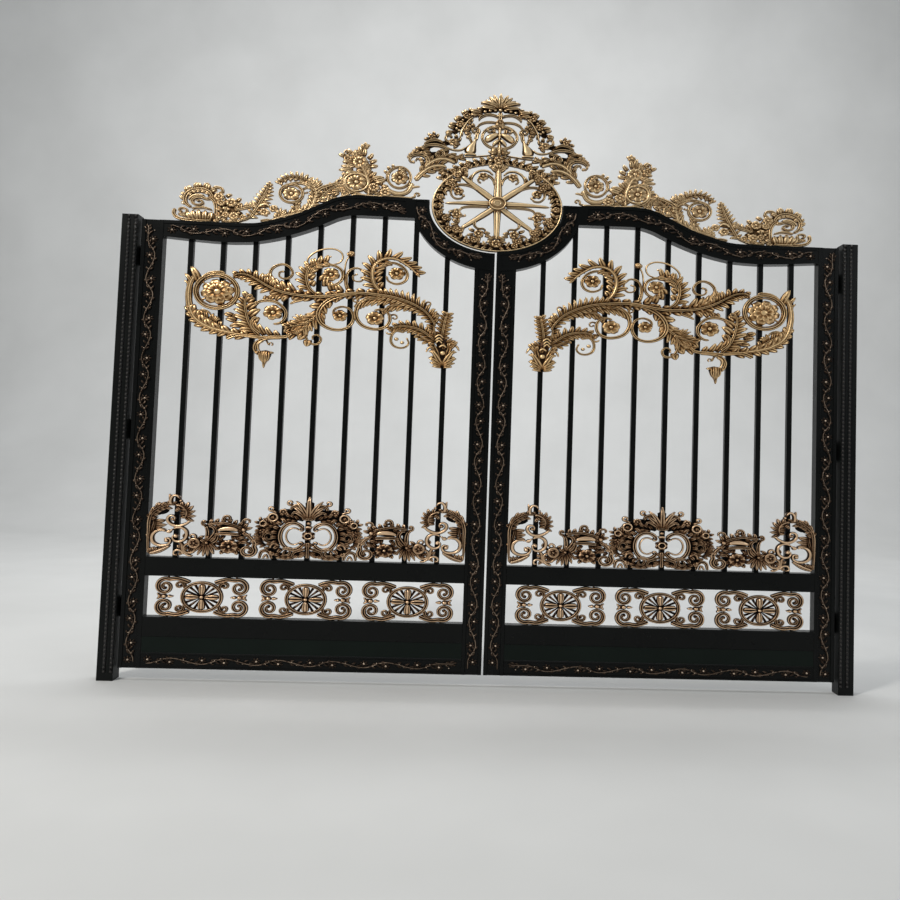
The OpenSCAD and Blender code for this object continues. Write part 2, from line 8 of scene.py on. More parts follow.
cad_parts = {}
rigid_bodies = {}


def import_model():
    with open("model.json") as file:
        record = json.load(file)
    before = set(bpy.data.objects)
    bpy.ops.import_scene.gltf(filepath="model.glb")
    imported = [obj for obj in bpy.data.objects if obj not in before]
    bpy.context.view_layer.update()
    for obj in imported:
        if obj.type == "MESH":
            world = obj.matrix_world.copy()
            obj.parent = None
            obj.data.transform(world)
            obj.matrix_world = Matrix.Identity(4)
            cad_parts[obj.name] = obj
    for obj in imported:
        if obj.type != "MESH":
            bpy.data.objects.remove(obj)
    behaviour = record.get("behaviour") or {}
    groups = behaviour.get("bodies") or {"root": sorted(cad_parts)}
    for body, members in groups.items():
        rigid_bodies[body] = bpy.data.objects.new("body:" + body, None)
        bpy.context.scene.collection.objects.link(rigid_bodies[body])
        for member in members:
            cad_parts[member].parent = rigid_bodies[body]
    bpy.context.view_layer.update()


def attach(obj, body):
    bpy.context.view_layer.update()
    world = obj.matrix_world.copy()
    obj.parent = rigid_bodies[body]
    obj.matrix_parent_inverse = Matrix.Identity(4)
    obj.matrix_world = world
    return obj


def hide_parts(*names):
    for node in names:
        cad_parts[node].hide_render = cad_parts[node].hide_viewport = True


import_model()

MID = 1852.0  # gate centre from the origin, in mm
Q = 0.76  # height over width of a round casting, as this gate is drawn
RNG = np.random.default_rng(11)

# ---------------------------------------------------------------- sections
# u runs across the strip, h is the height of the skin, t its tone: 0 in a hollow and at the foot of the flanks, 1 on a
# ridge. The dark flanks are partly dark old gilding and partly painted shade; the bright ridges are partly worn gilding
# and partly painted highlight.
SECTIONS = {
    "round": ([-1, -0.72, -0.35, 0.35, 0.72, 1], [0, 0.66, 0.98, 0.98, 0.66, 0], [0.0, 0.22, 0.95, 0.95, 0.22, 0.0]),
    "double": ([-1, -0.8, -0.5, -0.16, 0.16, 0.5, 0.8, 1], [0, 0.66, 1, 0.34, 0.34, 1, 0.66, 0], [0.0, 0.26, 1.0, 0.04, 0.04, 1.0, 0.26, 0.0]),
    "triple": (
        [-1, -0.84, -0.6, -0.38, -0.16, 0.16, 0.38, 0.6, 0.84, 1],
        [0, 0.6, 0.86, 0.34, 1.0, 1.0, 0.34, 0.86, 0.6, 0],
        [0.0, 0.22, 0.95, 0.02, 1.0, 1.0, 0.02, 0.95, 0.22, 0.0],
    ),
    "leaf": ([-1, -0.76, -0.42, 0, 0.42, 0.76, 1], [0, 0.8, 1.0, 0.4, 1.0, 0.8, 0], [0.0, 0.35, 1.0, 0.12, 1.0, 0.35, 0.0]),
    "blade": ([-1, -0.66, -0.25, 0.25, 0.66, 1], [0.0, 0.6, 1.0, 1.0, 0.6, 0.0], [0.0, 0.2, 1.0, 1.0, 0.2, 0.0]),
    "spoon": ([-1, -0.76, -0.36, 0.36, 0.76, 1], [0.0, 0.95, 0.7, 0.7, 0.95, 0.0], [0.0, 0.9, 0.6, 0.6, 0.9, 0.0]),
    "small": ([-1, -0.6, 0, 0.6, 1], [0, 0.8, 1, 0.8, 0], [0.05, 0.55, 1, 0.55, 0.05]),
    "flat": ([-1, -0.8, 0.8, 1], [0, 1, 1, 0], [1, 1, 1, 1]),
}
FINGER_W = ([0, 0.2, 0.4, 0.6, 0.8, 1], [0.92, 1.0, 1.0, 0.9, 0.68, 0.2])
PETAL_W = ([0, 0.25, 0.5, 0.75, 1], [0.4, 0.78, 1.0, 0.98, 0.5])


def along(value, s):
    """A number, or a list of numbers spread evenly along the strip, at the fractions s."""
    v = np.atleast_1d(np.asarray(value, float))
    return np.full(len(s), v[0]) if len(v) == 1 else np.interp(s, np.linspace(0, 1, len(v)), v)


def catmull(pts, n=14):
    p = np.asarray(pts, float)
    if len(p) == 2:
        return p[0] + (p[1] - p[0]) * np.linspace(0, 1, n)[:, None]
    q = np.vstack([2 * p[0] - p[1], p, 2 * p[-1] - p[-2]])
    t = np.linspace(0, 1, n, endpoint=False)[:, None]
    out = [
        0.5 * (2 * q[i] + (q[i + 1] - q[i - 1]) * t + (2 * q[i - 1] - 5 * q[i] + 4 * q[i + 1] - q[i + 2]) * t**2
               + (3 * q[i] - q[i - 1] - 3 * q[i + 1] + q[i + 2]) * t**3)
        for i in range(1, len(p))
    ]
    return np.vstack(out + [p[-1:]])


def resample(p, step):
    d = np.r_[0, np.cumsum(np.linalg.norm(np.diff(p, axis=0), axis=1))]
    n = max(4, int(math.ceil(d[-1] / step)) + 1)
    s = np.linspace(0, d[-1], n)
    return np.c_[np.interp(s, d, p[:, 0]), np.interp(s, d, p[:, 1])]


def frames(p, wrap=False):
    """Unit tangents and left normals of a path."""
    d = np.roll(p, -1, 0) - np.roll(p, 1, 0)
    if not wrap:
        d[0], d[-1] = p[1] - p[0], p[-1] - p[-2]
    d /= np.maximum(np.linalg.norm(d, axis=1), 1e-9)[:, None]
    return d, np.c_[-d[:, 1], d[:, 0]]


class Shape:
    """Closed skins in mm: x from the gate centre, z up, and d towards the street from the middle plane.
    Points are worked out with round things round, and the height is drawn in by q at the end."""

    def __init__(self, q=Q, floor=None, bold=(1.15, 1.15, 1.7, 1.6)):
        """bold: how much wider stems and lobes, how much longer lobes and how much deeper the relief is than the sizes given."""
        self.q, self.floor, self.v, self.f, self.t, self.n = q, floor, [], [], [], 0
        self.stem_k, self.lobe_k, self.long_k, self.deep_k = bold

    def p(self, pts, step=8.0):
        pts = np.asarray(pts, float) / [1, self.q]
        return resample(catmull(pts), step)

    def grid(self, r, t, wrap=False):
        m, k, _ = r.shape
        i = np.arange(m * k).reshape(m, k) + self.n
        j = np.roll(i, -1, axis=1)
        if wrap:
            quads = np.stack([i, j, np.roll(j, -1, 0), np.roll(i, -1, 0)], -1).reshape(-1, 4)
        else:
            quads = np.stack([i[:-1], j[:-1], j[1:], i[1:]], -1).reshape(-1, 4)
        v = r.reshape(-1, 3)
        tone = t.reshape(-1)
        faces = [quads]
        if not wrap:
            a, b = self.n + m * k, self.n + m * k + 1
            v = np.vstack([v, r[0].mean(0), r[-1].mean(0)])
            tone = np.r_[tone, t[0].mean(), t[-1].mean()]
            faces.append(np.stack([j[0], i[0], np.full(k, a), np.full(k, a)], -1))
            faces.append(np.stack([i[-1], j[-1], np.full(k, b), np.full(k, b)], -1))
        faces = np.vstack(faces)
        w = v - v.mean(0)
        c = w[faces - self.n]
        vol = (np.einsum("ij,ij->i", c[:, 0], np.cross(c[:, 1], c[:, 2])) + np.einsum("ij,ij->i", c[:, 0], np.cross(c[:, 2], c[:, 3]))).sum()
        if vol < 0:
            faces = faces[:, ::-1]
        self.v.append(v)
        self.f.append(faces)
        self.t.append(tone)
        self.n += len(v)

    def strip(self, p, w, h=7.0, lift=0.0, kind="double", wrap=False, taper=(0.0, 0.0), tone=1.0):
        """A moulded band along p, w half wide, with a plainer back. On a shape with a floor it stands on that floor."""
        seg = np.linalg.norm(np.diff(p, axis=0), axis=1)
        dist = np.r_[0, np.cumsum(seg)]
        s = dist / dist[-1]
        ww, hh, ll, tt = along(w, s), along(h, s), along(lift, s), along(tone, s)
        for length, x in ((taper[0], dist), (taper[1], dist[-1] - dist)):
            if length > 0:
                f = np.sqrt(np.clip(x / length, 0, 1))
                ww, hh = ww * (0.12 + 0.88 * f), hh * (0.3 + 0.7 * f)
        u, sh, st = (np.array(a, float) for a in SECTIONS[kind])
        if self.floor is None:
            bu, bh, bt = np.array([0.55, -0.55]), np.array([0.9, 0.9]), np.array([0.75, 0.75])
        else:
            bu = bh = bt = np.zeros(0)
        _, nrm = frames(p, wrap)
        front = ll[:, None] + hh[:, None] * sh[None, :]
        if self.floor is not None:
            front[:, [0, -1]] = self.floor
        back = -ll[:, None] - hh[:, None] * bh[None, :]
        uu = np.r_[u, bu]
        xz = p[:, None, :] + nrm[:, None, :] * (uu[None, :, None] * ww[:, None, None])
        d = np.concatenate([front, back], axis=1)
        tones = np.tile(np.r_[st, bt], (len(p), 1)) * tt[:, None]
        self.grid(np.dstack([xz[..., 0], xz[..., 1], d]), tones, wrap)

    # ---- the pieces of a casting
    def stem(self, pts, w, h=8.0, lift=0.0, kind="double", step=8.0, taper=(6, 6), tone=1.0, eye=0.0):
        p = self.p(pts, step)
        self.strip(p, np.multiply(w, self.stem_k), np.multiply(h, self.deep_k), lift, kind, taper=taper, tone=tone)
        if eye:
            self.bead_at(p[-1], eye, lift=along(lift, [1.0])[0] + 2)
        return p

    def finger(self, base, ang, length, w, bend=30.0, h=6.0, lift=2.0, rise=4.0, kind="leaf", n=6, tone=1.0, widths=FINGER_W, seen=True):
        """One lobe of a leaf: it leaves base at ang degrees, turns by bend and lifts, and its tip rolls over."""
        s = np.linspace(0, 1, n)
        w, h = w * self.lobe_k, h * self.deep_k
        a = np.radians(ang + bend * s**1.3)
        step = length / (n - 1)
        mid = (a[1:] + a[:-1]) / 2
        d = np.c_[np.cos(mid), np.sin(mid)] * step
        start = np.asarray(base, float) / ([1, self.q] if seen else 1)
        p = np.vstack([start, start + np.cumsum(d, axis=0)])
        ws = np.interp(s, *widths) * w
        up = lift + rise * np.sin(np.clip(s * 1.25, 0, 1.25) * math.pi / 2) - rise * 0.5 * np.clip(s - 0.8, 0, 1) * 5 * 0.6
        hs = h * np.interp(s, [0, 0.2, 0.7, 1], [0.7, 1, 0.9, 0.35])
        # The tone is darkest at the root, where the lobe leaves its stalk, and brightest towards the tip: partly the
        # wear of the gilding, partly painted shade at the root and a painted highlight near the tip.
        self.strip(p, ws, hs, up, kind, tone=np.interp(s, [0, 0.35, 0.85, 1], [0.35, 0.7, 1.0, 0.9]) * tone)

    def leaves(self, p, side, n, length, w=None, ang=(62, 34), bend=26, s=(0.05, 0.95), lift=2.0, rise=4.0, h=6.0, off=0.0, kind="leaf", tone=1.0):
        """Lobes in a row along one side of p: side is 1 on the left of travel and -1 on the right."""
        d = np.r_[0, np.cumsum(np.linalg.norm(np.diff(p, axis=0), axis=1))]
        f = d / d[-1]
        tan, nrm = frames(p)
        ts = np.linspace(s[0], s[1], n)
        n = max(2, int(round(n * 0.74))) if n > 3 else n
        ts = np.linspace(s[0], s[1], n)
        gap = (s[1] - s[0]) * d[-1] / max(n - 1, 1)
        for i, t in enumerate(ts):
            q = i / max(n - 1, 1)
            c = np.array([np.interp(t, f, p[:, 0]), np.interp(t, f, p[:, 1])])
            tx = np.array([np.interp(t, f, tan[:, 0]), np.interp(t, f, tan[:, 1])])
            head = math.degrees(math.atan2(tx[1], tx[0]))
            a = 0.8 * (ang[0] + (ang[1] - ang[0]) * q)
            ln = along(length, [q])[0] * self.long_k
            base = c + np.array([-tx[1], tx[0]]) * side * off - tx * 3
            self.finger(base, head + side * a, ln, w or max(gap * 0.42, 3.2), side * bend * 1.25, h, lift, rise, kind, tone=tone, seen=False)

    def acanthus(self, pts, w, length, n, side=0, ang=(62, 34), bend=26, s=(0.04, 0.96), lift=1.0, tip=True, h=7.0, kind="double", step=8.0, lw=None):
        """A leaf with a ribbed stalk: side 1 or -1 has lobes on one side only, 0 on both."""
        p = self.p(pts, step)
        for k in (1, -1):
            if side in (0, k):
                self.leaves(p, k, n, length, lw, ang, bend, s, lift, h=h * 0.85)
        self.strip(p, np.multiply(w, self.stem_k * 0.66), h * self.deep_k, lift + 3, kind, taper=(6, 8))
        if tip:
            t = p[-1] - p[-3]
            wl = along(w, [1.0])[0]
            self.finger(p[-1] - t / max(np.linalg.norm(t), 1e-6) * 6, math.degrees(math.atan2(t[1], t[0])), along(length, [1.0])[0] * 0.95, max(wl * 1.1, 6), 0,
                        h * 0.9, lift + 2, seen=False)
        return p

    def bead_at(self, c, r, h=None, lift=0.0, k=12, m=4, tone=1.0):
        """A button: a low dome on both faces. c is in drawing space."""
        h = h if h is not None else r * 0.7
        a = np.linspace(0, 2 * math.pi, k, endpoint=False)
        up = np.radians([0, 28, 56, 82] if m == 4 else [0, 40, 80])
        lat = up if self.floor is not None else np.r_[-up[::-1], up[1:]]
        rr, zz = np.cos(lat), np.sin(lat)
        ring = np.zeros((len(lat), k, 3))
        ring[..., 0] = c[0] + r * rr[:, None] * np.cos(a)
        ring[..., 1] = c[1] + r * rr[:, None] * np.sin(a)
        ring[..., 2] = zz[:, None] * h + np.sign(np.round(zz, 6))[:, None] * lift + (self.floor or 0)
        # The tone is dark at the foot of the dome and bright on its crown: partly worn gilding, partly painted shade
        # round the foot and a painted highlight on top.
        t = np.tile(np.interp(np.abs(zz), [0, 0.45, 1], [0.05, 0.55, 1.0])[:, None], (1, k)) * tone
        self.grid(ring, t)

    def bead(self, c, r, h=None, lift=0.0, **kw):
        self.bead_at(np.asarray(c, float) / [1, self.q], r, h, lift, **kw)

    def oval(self, c, a, b, w, h=8.0, lift=0.0, kind="double", n=56, tone=1.0, span=(0, 360)):
        t = np.radians(np.linspace(span[0], span[1], n, endpoint=span != (0, 360)))
        p = np.c_[c[0] + a * np.cos(t), (c[1] + b * np.sin(t)) / self.q]
        self.strip(p, w * self.stem_k, h * self.deep_k, lift, kind, wrap=span == (0, 360), taper=(0, 0) if span == (0, 360) else (6, 6), tone=tone)

    def rosette(self, c, r, n=5, boss=None, lift=0.0, h=6.0, turn=0.0, two=False, back=True, kind="spoon"):
        """A flower: cupped petals round a button, on a dark disc. r is half its width."""
        c = np.asarray(c, float) / [1, self.q]
        boss = boss if boss is not None else r * 0.3
        if back:
            self.bead_at(c, r * 0.84, h=h * 0.5, lift=max(lift - 1.5, 0), k=18, m=3, tone=0.0)
        rows = [(r, n, turn, lift + 0.5, 3.5)] + ([(r * 0.62, n, turn + 180 / n, lift + 3.5, 3.0)] if two else [])
        for rr, m, rot, up, rise in rows:
            for i in range(m):
                a = rot + 360 * i / m
                b = c + rr * 0.2 * np.array([math.cos(math.radians(a)), math.sin(math.radians(a))])
                self.finger(b, a, rr * 0.82, rr * math.sin(math.pi / m) * 0.76, 0, h, up, rise, kind, n=5, widths=PETAL_W, seen=False)
        # A dark collar under the boss, and the boss itself set brighter than full tone: painted shade round the foot of
        # the boss and a painted highlight on it, along with dark patina and worn gilding.
        self.bead_at(c, boss + 2.5, h=h * 0.6, lift=lift + 4, k=14, m=3, tone=0.0)
        self.bead_at(c, boss, h=h * 0.95, lift=lift + 6, k=12, tone=1.15)

    def back(self, pts, w, lift=0.0, h=2.5, step=14.0, tone=0.0):
        """The dark web of metal behind a bunch of leaves."""
        self.strip(self.p(pts, step), w, h, lift, "flat", taper=(8, 8), tone=tone)

    def lobes(self, pts, length, w, tone=1.0, lift=4.0, h=7.0, kind="leaf", bend=0.0):
        """Lobes one by one: each of pts is (x, z, degrees), with its own bend as a fourth number if wanted."""
        for i, q in enumerate(pts):
            f = [i / max(len(pts) - 1, 1)]
            self.finger(q[:2], q[2], along(length, f)[0], along(w, f)[0], q[3] if len(q) > 3 else bend, h, lift, 4, kind, tone=tone)

    def curl(self, c, a, b, t0, t1, w, h=7.0, lift=0.0, eye=7.0, inner=0.3, n=None, kind="double", power=1.0, lead=None):
        """A scroll that runs from t0 to t1 degrees round c and winds in to an eye. lead is a point that it comes from."""
        n = n or max(14, int(abs(t1 - t0) / 13))
        f = np.linspace(0, 1, n)
        t = np.radians(t0 + (t1 - t0) * f)
        r = 1 - (1 - inner) * f**power
        p = np.c_[c[0] + a * r * np.cos(t), (c[1] + b * r * np.sin(t)) / self.q]
        if lead is not None:
            lead = np.asarray(lead, float).reshape(-1, 2) / [1, self.q]
            p = resample(catmull(np.vstack([lead, p[::2], p[-1:]]), 4), 6)
        w = self.stem_k * (along(w, [0.0, 1.0]) if np.ndim(w) else np.array([w, w * 0.6]))
        w = w * (1.22 if w[0] < 9 else 1.0)
        self.strip(p, [w[0], w[0], (w[0] + w[1]) / 2, w[1]], h * self.deep_k, lift, kind, taper=(5, 4))
        if eye:
            self.bead_at(p[-1], eye, h=h * 0.9, lift=lift + 2, k=12)

    def fan(self, base, angles, length, w, lift=2.0, h=6.0, bend=0.0, rise=4.0, kind="leaf"):
        m = len(angles)
        for i, a in enumerate(angles):
            self.finger(base, a, along(length, [i / max(m - 1, 1)])[0], w, bend * (1 if i < m / 2 else -1), h, lift + 1.5 * (1 - abs(2 * i / max(m - 1, 1) - 1)), rise, kind)

    def arrays(self):
        v, f, t = np.vstack(self.v), np.vstack(self.f), np.concatenate(self.t)
        v = v.copy()
        v[:, 1] *= self.q
        return v, f, t

    def join(self, other, dx=0.0, dz=0.0, flip=False, dd=0.0):
        """Adds another shape, shifted, and mirrored in x when flip is set."""
        v, f, t = other.arrays()
        v = v.copy()
        if flip:
            v[:, 0] *= -1
            f = f[:, ::-1]
        v[:, 0] += dx
        v[:, 1] = (v[:, 1] + dz) / self.q
        v[:, 2] += dd
        self.v.append(v)
        self.f.append(f + self.n)
        self.t.append(t)
        self.n += len(v)


def spread(a, n):
    """Mean of a over a square of 2n+1 cells."""
    for axis in (0, 1):
        c = np.cumsum(np.pad(a, [(n + 1, n) if k == axis else (0, 0) for k in (0, 1)], mode="edge"), axis=axis)
        a = (np.take(c, range(2 * n + 1, c.shape[axis]), axis) - np.take(c, range(0, c.shape[axis] - 2 * n - 1), axis)) / (2 * n + 1)
    return a


def patina_and_painted_shade(v, t, cell=4.0):
    """Darkens what lies lower than its neighbours and keeps the gilding on what stands proud of them: partly the dark
    patina of the hollows, partly painted shade standing in for the occlusion there.
    """
    lo = v[:, :2].min(0) - 5 * cell
    ij = ((v[:, :2] - lo) / cell).astype(int)
    size = ij.max(0) + 6
    out = t.copy()
    for sign in (1, -1):
        d = v[:, 2] * sign
        top = np.full(size, -3.0)
        np.maximum.at(top, (ij[:, 0], ij[:, 1]), d)
        grown = top.copy()
        for a in (-1, 0, 1):
            for b in (-1, 0, 1):
                grown = np.maximum(grown, np.roll(np.roll(top, a, 0), b, 1))
        mean = spread(grown, 3)
        up = d - mean[ij[:, 0], ij[:, 1]]
        k = np.clip((up + 6.0) / 10.0, 0, 1)
        k = 0.1 + 0.9 * k * k * (3 - 2 * k)
        side = d > 0 if sign == 1 else d >= 0
        out = np.where(side, t * k, out)
    return out


def piece(name, shape, y0, material, body, stands=(), flip=False, rear=False, smooth=True):
    """Turns a shape into a mesh piece. y0 is the middle plane, rear puts the relief on the inner side, flip mirrors it in x."""
    v, f, t = shape.arrays()
    # Gilt pieces are darkened where they lie lower than their neighbours: dark patina in the hollows together with
    # painted shade.
    if material in (GOLD, CROWN_GOLD, SCROLL_GOLD, DIM_GOLD):
        t = patina_and_painted_shade(v, t)
    x = -v[:, 0] if flip else v[:, 0]
    y = y0 + v[:, 2] if rear else y0 - v[:, 2]
    co = np.c_[(MID + x) / 1000, y / 1000, v[:, 1] / 1000].astype(np.float32)
    if flip != rear:
        f = f[:, ::-1]
    tri = f[:, 2] == f[:, 3]
    tri2 = f[:, 0] == f[:, 1]
    quads = f[~(tri | tri2)]
    tris = np.vstack([f[tri][:, :3], f[tri2][:, 1:]])
    mesh = bpy.data.meshes.new(name)
    nq, nt = len(quads), len(tris)
    mesh.vertices.add(len(co))
    mesh.vertices.foreach_set("co", co.ravel())
    mesh.loops.add(nq * 4 + nt * 3)
    mesh.loops.foreach_set("vertex_index", np.r_[quads.ravel(), tris.ravel()].astype(np.int32))
    mesh.polygons.add(nq + nt)
    mesh.polygons.foreach_set("loop_start", np.r_[np.arange(nq) * 4, nq * 4 + np.arange(nt) * 3].astype(np.int32))
    mesh.polygons.foreach_set("use_smooth", np.full(nq + nt, smooth))
    mesh.update(calc_edges=True)
    mesh.validate()
    tone = mesh.attributes.new("tone", "FLOAT", "POINT")
    tone.data.foreach_set("value", t.astype(np.float32))
    mesh.materials.append(material)
    o = bpy.data.objects.new(name, mesh)
    bpy.context.scene.collection.objects.link(o)
    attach(o, body)
    if stands:
        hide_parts(*stands)
    return o


# ---------------------------------------------------------------- materials
def nodes_of(name):
    m = bpy.data.materials.new(name)
    m.use_nodes = True
    t = m.node_tree
    t.nodes.clear()
    out = t.nodes.new("ShaderNodeOutputMaterial")
    b = t.nodes.new("ShaderNodeBsdfPrincipled")
    t.links.new(b.outputs[0], out.inputs[0])
    return m, t, b


def noise(t, scale, detail=4.0, rough=0.55, stretch=None):
    c = t.nodes.new("ShaderNodeTexCoord")
    n = t.nodes.new("ShaderNodeTexNoise")
    n.inputs["Scale"].default_value = scale
    n.inputs["Detail"].default_value = detail
    n.inputs["Roughness"].default_value = rough
    if stretch:
        mp = t.nodes.new("ShaderNodeMapping")
        mp.inputs["Scale"].default_value = stretch
        t.links.new(c.outputs["Object"], mp.inputs["Vector"])
        t.links.new(mp.outputs[0], n.inputs["Vector"])
    else:
        t.links.new(c.outputs["Object"], n.inputs["Vector"])
    return n


def ramp(t, stops, source):
    r = t.nodes.new("ShaderNodeValToRGB")
    e = r.color_ramp.elements
    while len(e) > 1:
        e.remove(e[-1])
    e[0].position, e[0].color = stops[0][0], (*stops[0][1], 1)
    for pos, col in stops[1:]:
        x = e.new(pos)
        x.color = (*col, 1)
    t.links.new(source, r.inputs[0])
    return r


def math_node(t, op, a, b, clamp=False):
    n = t.nodes.new("ShaderNodeMath")
    n.operation = op
    n.use_clamp = clamp
    for i, x in enumerate((a, b)):
        if isinstance(x, (int, float)):
            n.inputs[i].default_value = x
        else:
            t.links.new(x, n.inputs[i])
    return n.outputs[0]


def gilt(name, dark, brown, mid, light, metallic=0.75, gain=1.0, shift=0.0):
    """Old gold over brown iron: the tone of the mesh sets the colour from dark brown to pale gold. That is partly how
    much of the gilding has kept, and partly painted shade in the hollows and a painted highlight on the ridges.
    """
    m, t, b = nodes_of(name)
    a = t.nodes.new("ShaderNodeAttribute")
    a.attribute_name = "tone"
    patch = noise(t, 9.0, 5.0)
    fine = noise(t, 70.0, 4.0, 0.65)
    worn = math_node(t, "MULTIPLY_ADD", patch.outputs["Fac"], 0.30)
    t.nodes[-1].inputs[2].default_value = -0.15
    x = math_node(t, "ADD", math_node(t, "MULTIPLY", a.outputs["Fac"], 0.95 * gain), worn)
    y = math_node(t, "MULTIPLY", fine.outputs["Fac"], 0.22)
    z = math_node(t, "ADD", math_node(t, "ADD", x, y), -0.11 + shift, clamp=True)
    r = ramp(t, [(0.10, dark), (0.26, brown), (0.44, mid), (0.80, light)], z)
    t.links.new(r.outputs[0], b.inputs["Base Color"])
    b.inputs["Metallic"].default_value = metallic
    rr = math_node(t, "MULTIPLY_ADD", fine.outputs["Fac"], 0.22)
    t.nodes[-1].inputs[2].default_value = 0.25
    t.links.new(rr, b.inputs["Roughness"])
    bump = t.nodes.new("ShaderNodeBump")
    bump.inputs["Strength"].default_value = 0.25
    bump.inputs["Distance"].default_value = 0.0012
    t.links.new(fine.outputs["Fac"], bump.inputs["Height"])
    t.links.new(bump.outputs[0], b.inputs["Normal"])
    return m


def paint(name, colour, edge, rough=0.32, bump_size=60.0):
    """Satin paint with faint brush unevenness and dust."""
    m, t, b = nodes_of(name)
    patch = noise(t, 3.5, 5.0)
    fine = noise(t, bump_size, 3.0, 0.6, (1.0, 1.0, 0.35))
    r = ramp(t, [(0.25, colour), (0.8, edge)], patch.outputs["Fac"])
    t.links.new(r.outputs[0], b.inputs["Base Color"])
    rr = math_node(t, "MULTIPLY_ADD", patch.outputs["Fac"], 0.25)
    t.nodes[-1].inputs[2].default_value = rough - 0.1
    t.links.new(rr, b.inputs["Roughness"])
    b.inputs["Specular IOR Level"].default_value = 0.13
    bump = t.nodes.new("ShaderNodeBump")
    bump.inputs["Strength"].default_value = 0.18
    bump.inputs["Distance"].default_value = 0.0008
    t.links.new(fine.outputs["Fac"], bump.inputs["Height"])
    t.links.new(bump.outputs[0], b.inputs["Normal"])
    return m


TONES = ((0.0030, 0.0014, 0.0006), (0.030, 0.0135, 0.0052), (0.27, 0.150, 0.060), (0.97, 0.71, 0.40))
GOLD = gilt("antique_gilt", *TONES, metallic=0.8, shift=0.21)
CROWN_GOLD = gilt("antique_gilt_crown", *TONES, metallic=0.75, shift=0.33)
SCROLL_GOLD = gilt("antique_gilt_scroll", (0.0030, 0.0014, 0.0006), (0.036, 0.0145, 0.005), (0.33, 0.165, 0.056), (0.98, 0.68, 0.35), metallic=0.8, shift=0.21)
DIM_GOLD = gilt("antique_gilt_low", (0.0026, 0.0012, 0.0006), (0.028, 0.0105, 0.0042), (0.21, 0.103, 0.045), (0.88, 0.61, 0.38), metallic=0.8, shift=0.10)
VINE = gilt("bronze_vine", (0.002, 0.0012, 0.0008), (0.014, 0.008, 0.0045), (0.062, 0.037, 0.022), (0.64, 0.50, 0.38), metallic=0.7, gain=0.8, shift=0.0)
# The black beads come out lighter on their crowns through the tone: a painted glint on the black paint.
BEAD = gilt("black_bead", (0.004, 0.004, 0.004), (0.006, 0.006, 0.006), (0.010, 0.0095, 0.009), (0.026, 0.023, 0.02), metallic=0.2)
FRAME_PAINT = paint("frame_black", (0.0028, 0.0032, 0.0030), (0.0055, 0.0062, 0.0058), 0.26)
BAR_PAINT = paint("bar_black", (0.0026, 0.0030, 0.0028), (0.005, 0.0056, 0.0054), 0.28)
PANEL_PAINT = paint("panel_black", (0.0026, 0.0056, 0.0040), (0.0052, 0.0100, 0.0074), 0.30)
POST_PAINT = paint("post_black", (0.0032, 0.0038, 0.0036), (0.0065, 0.0075, 0.007), 0.32)


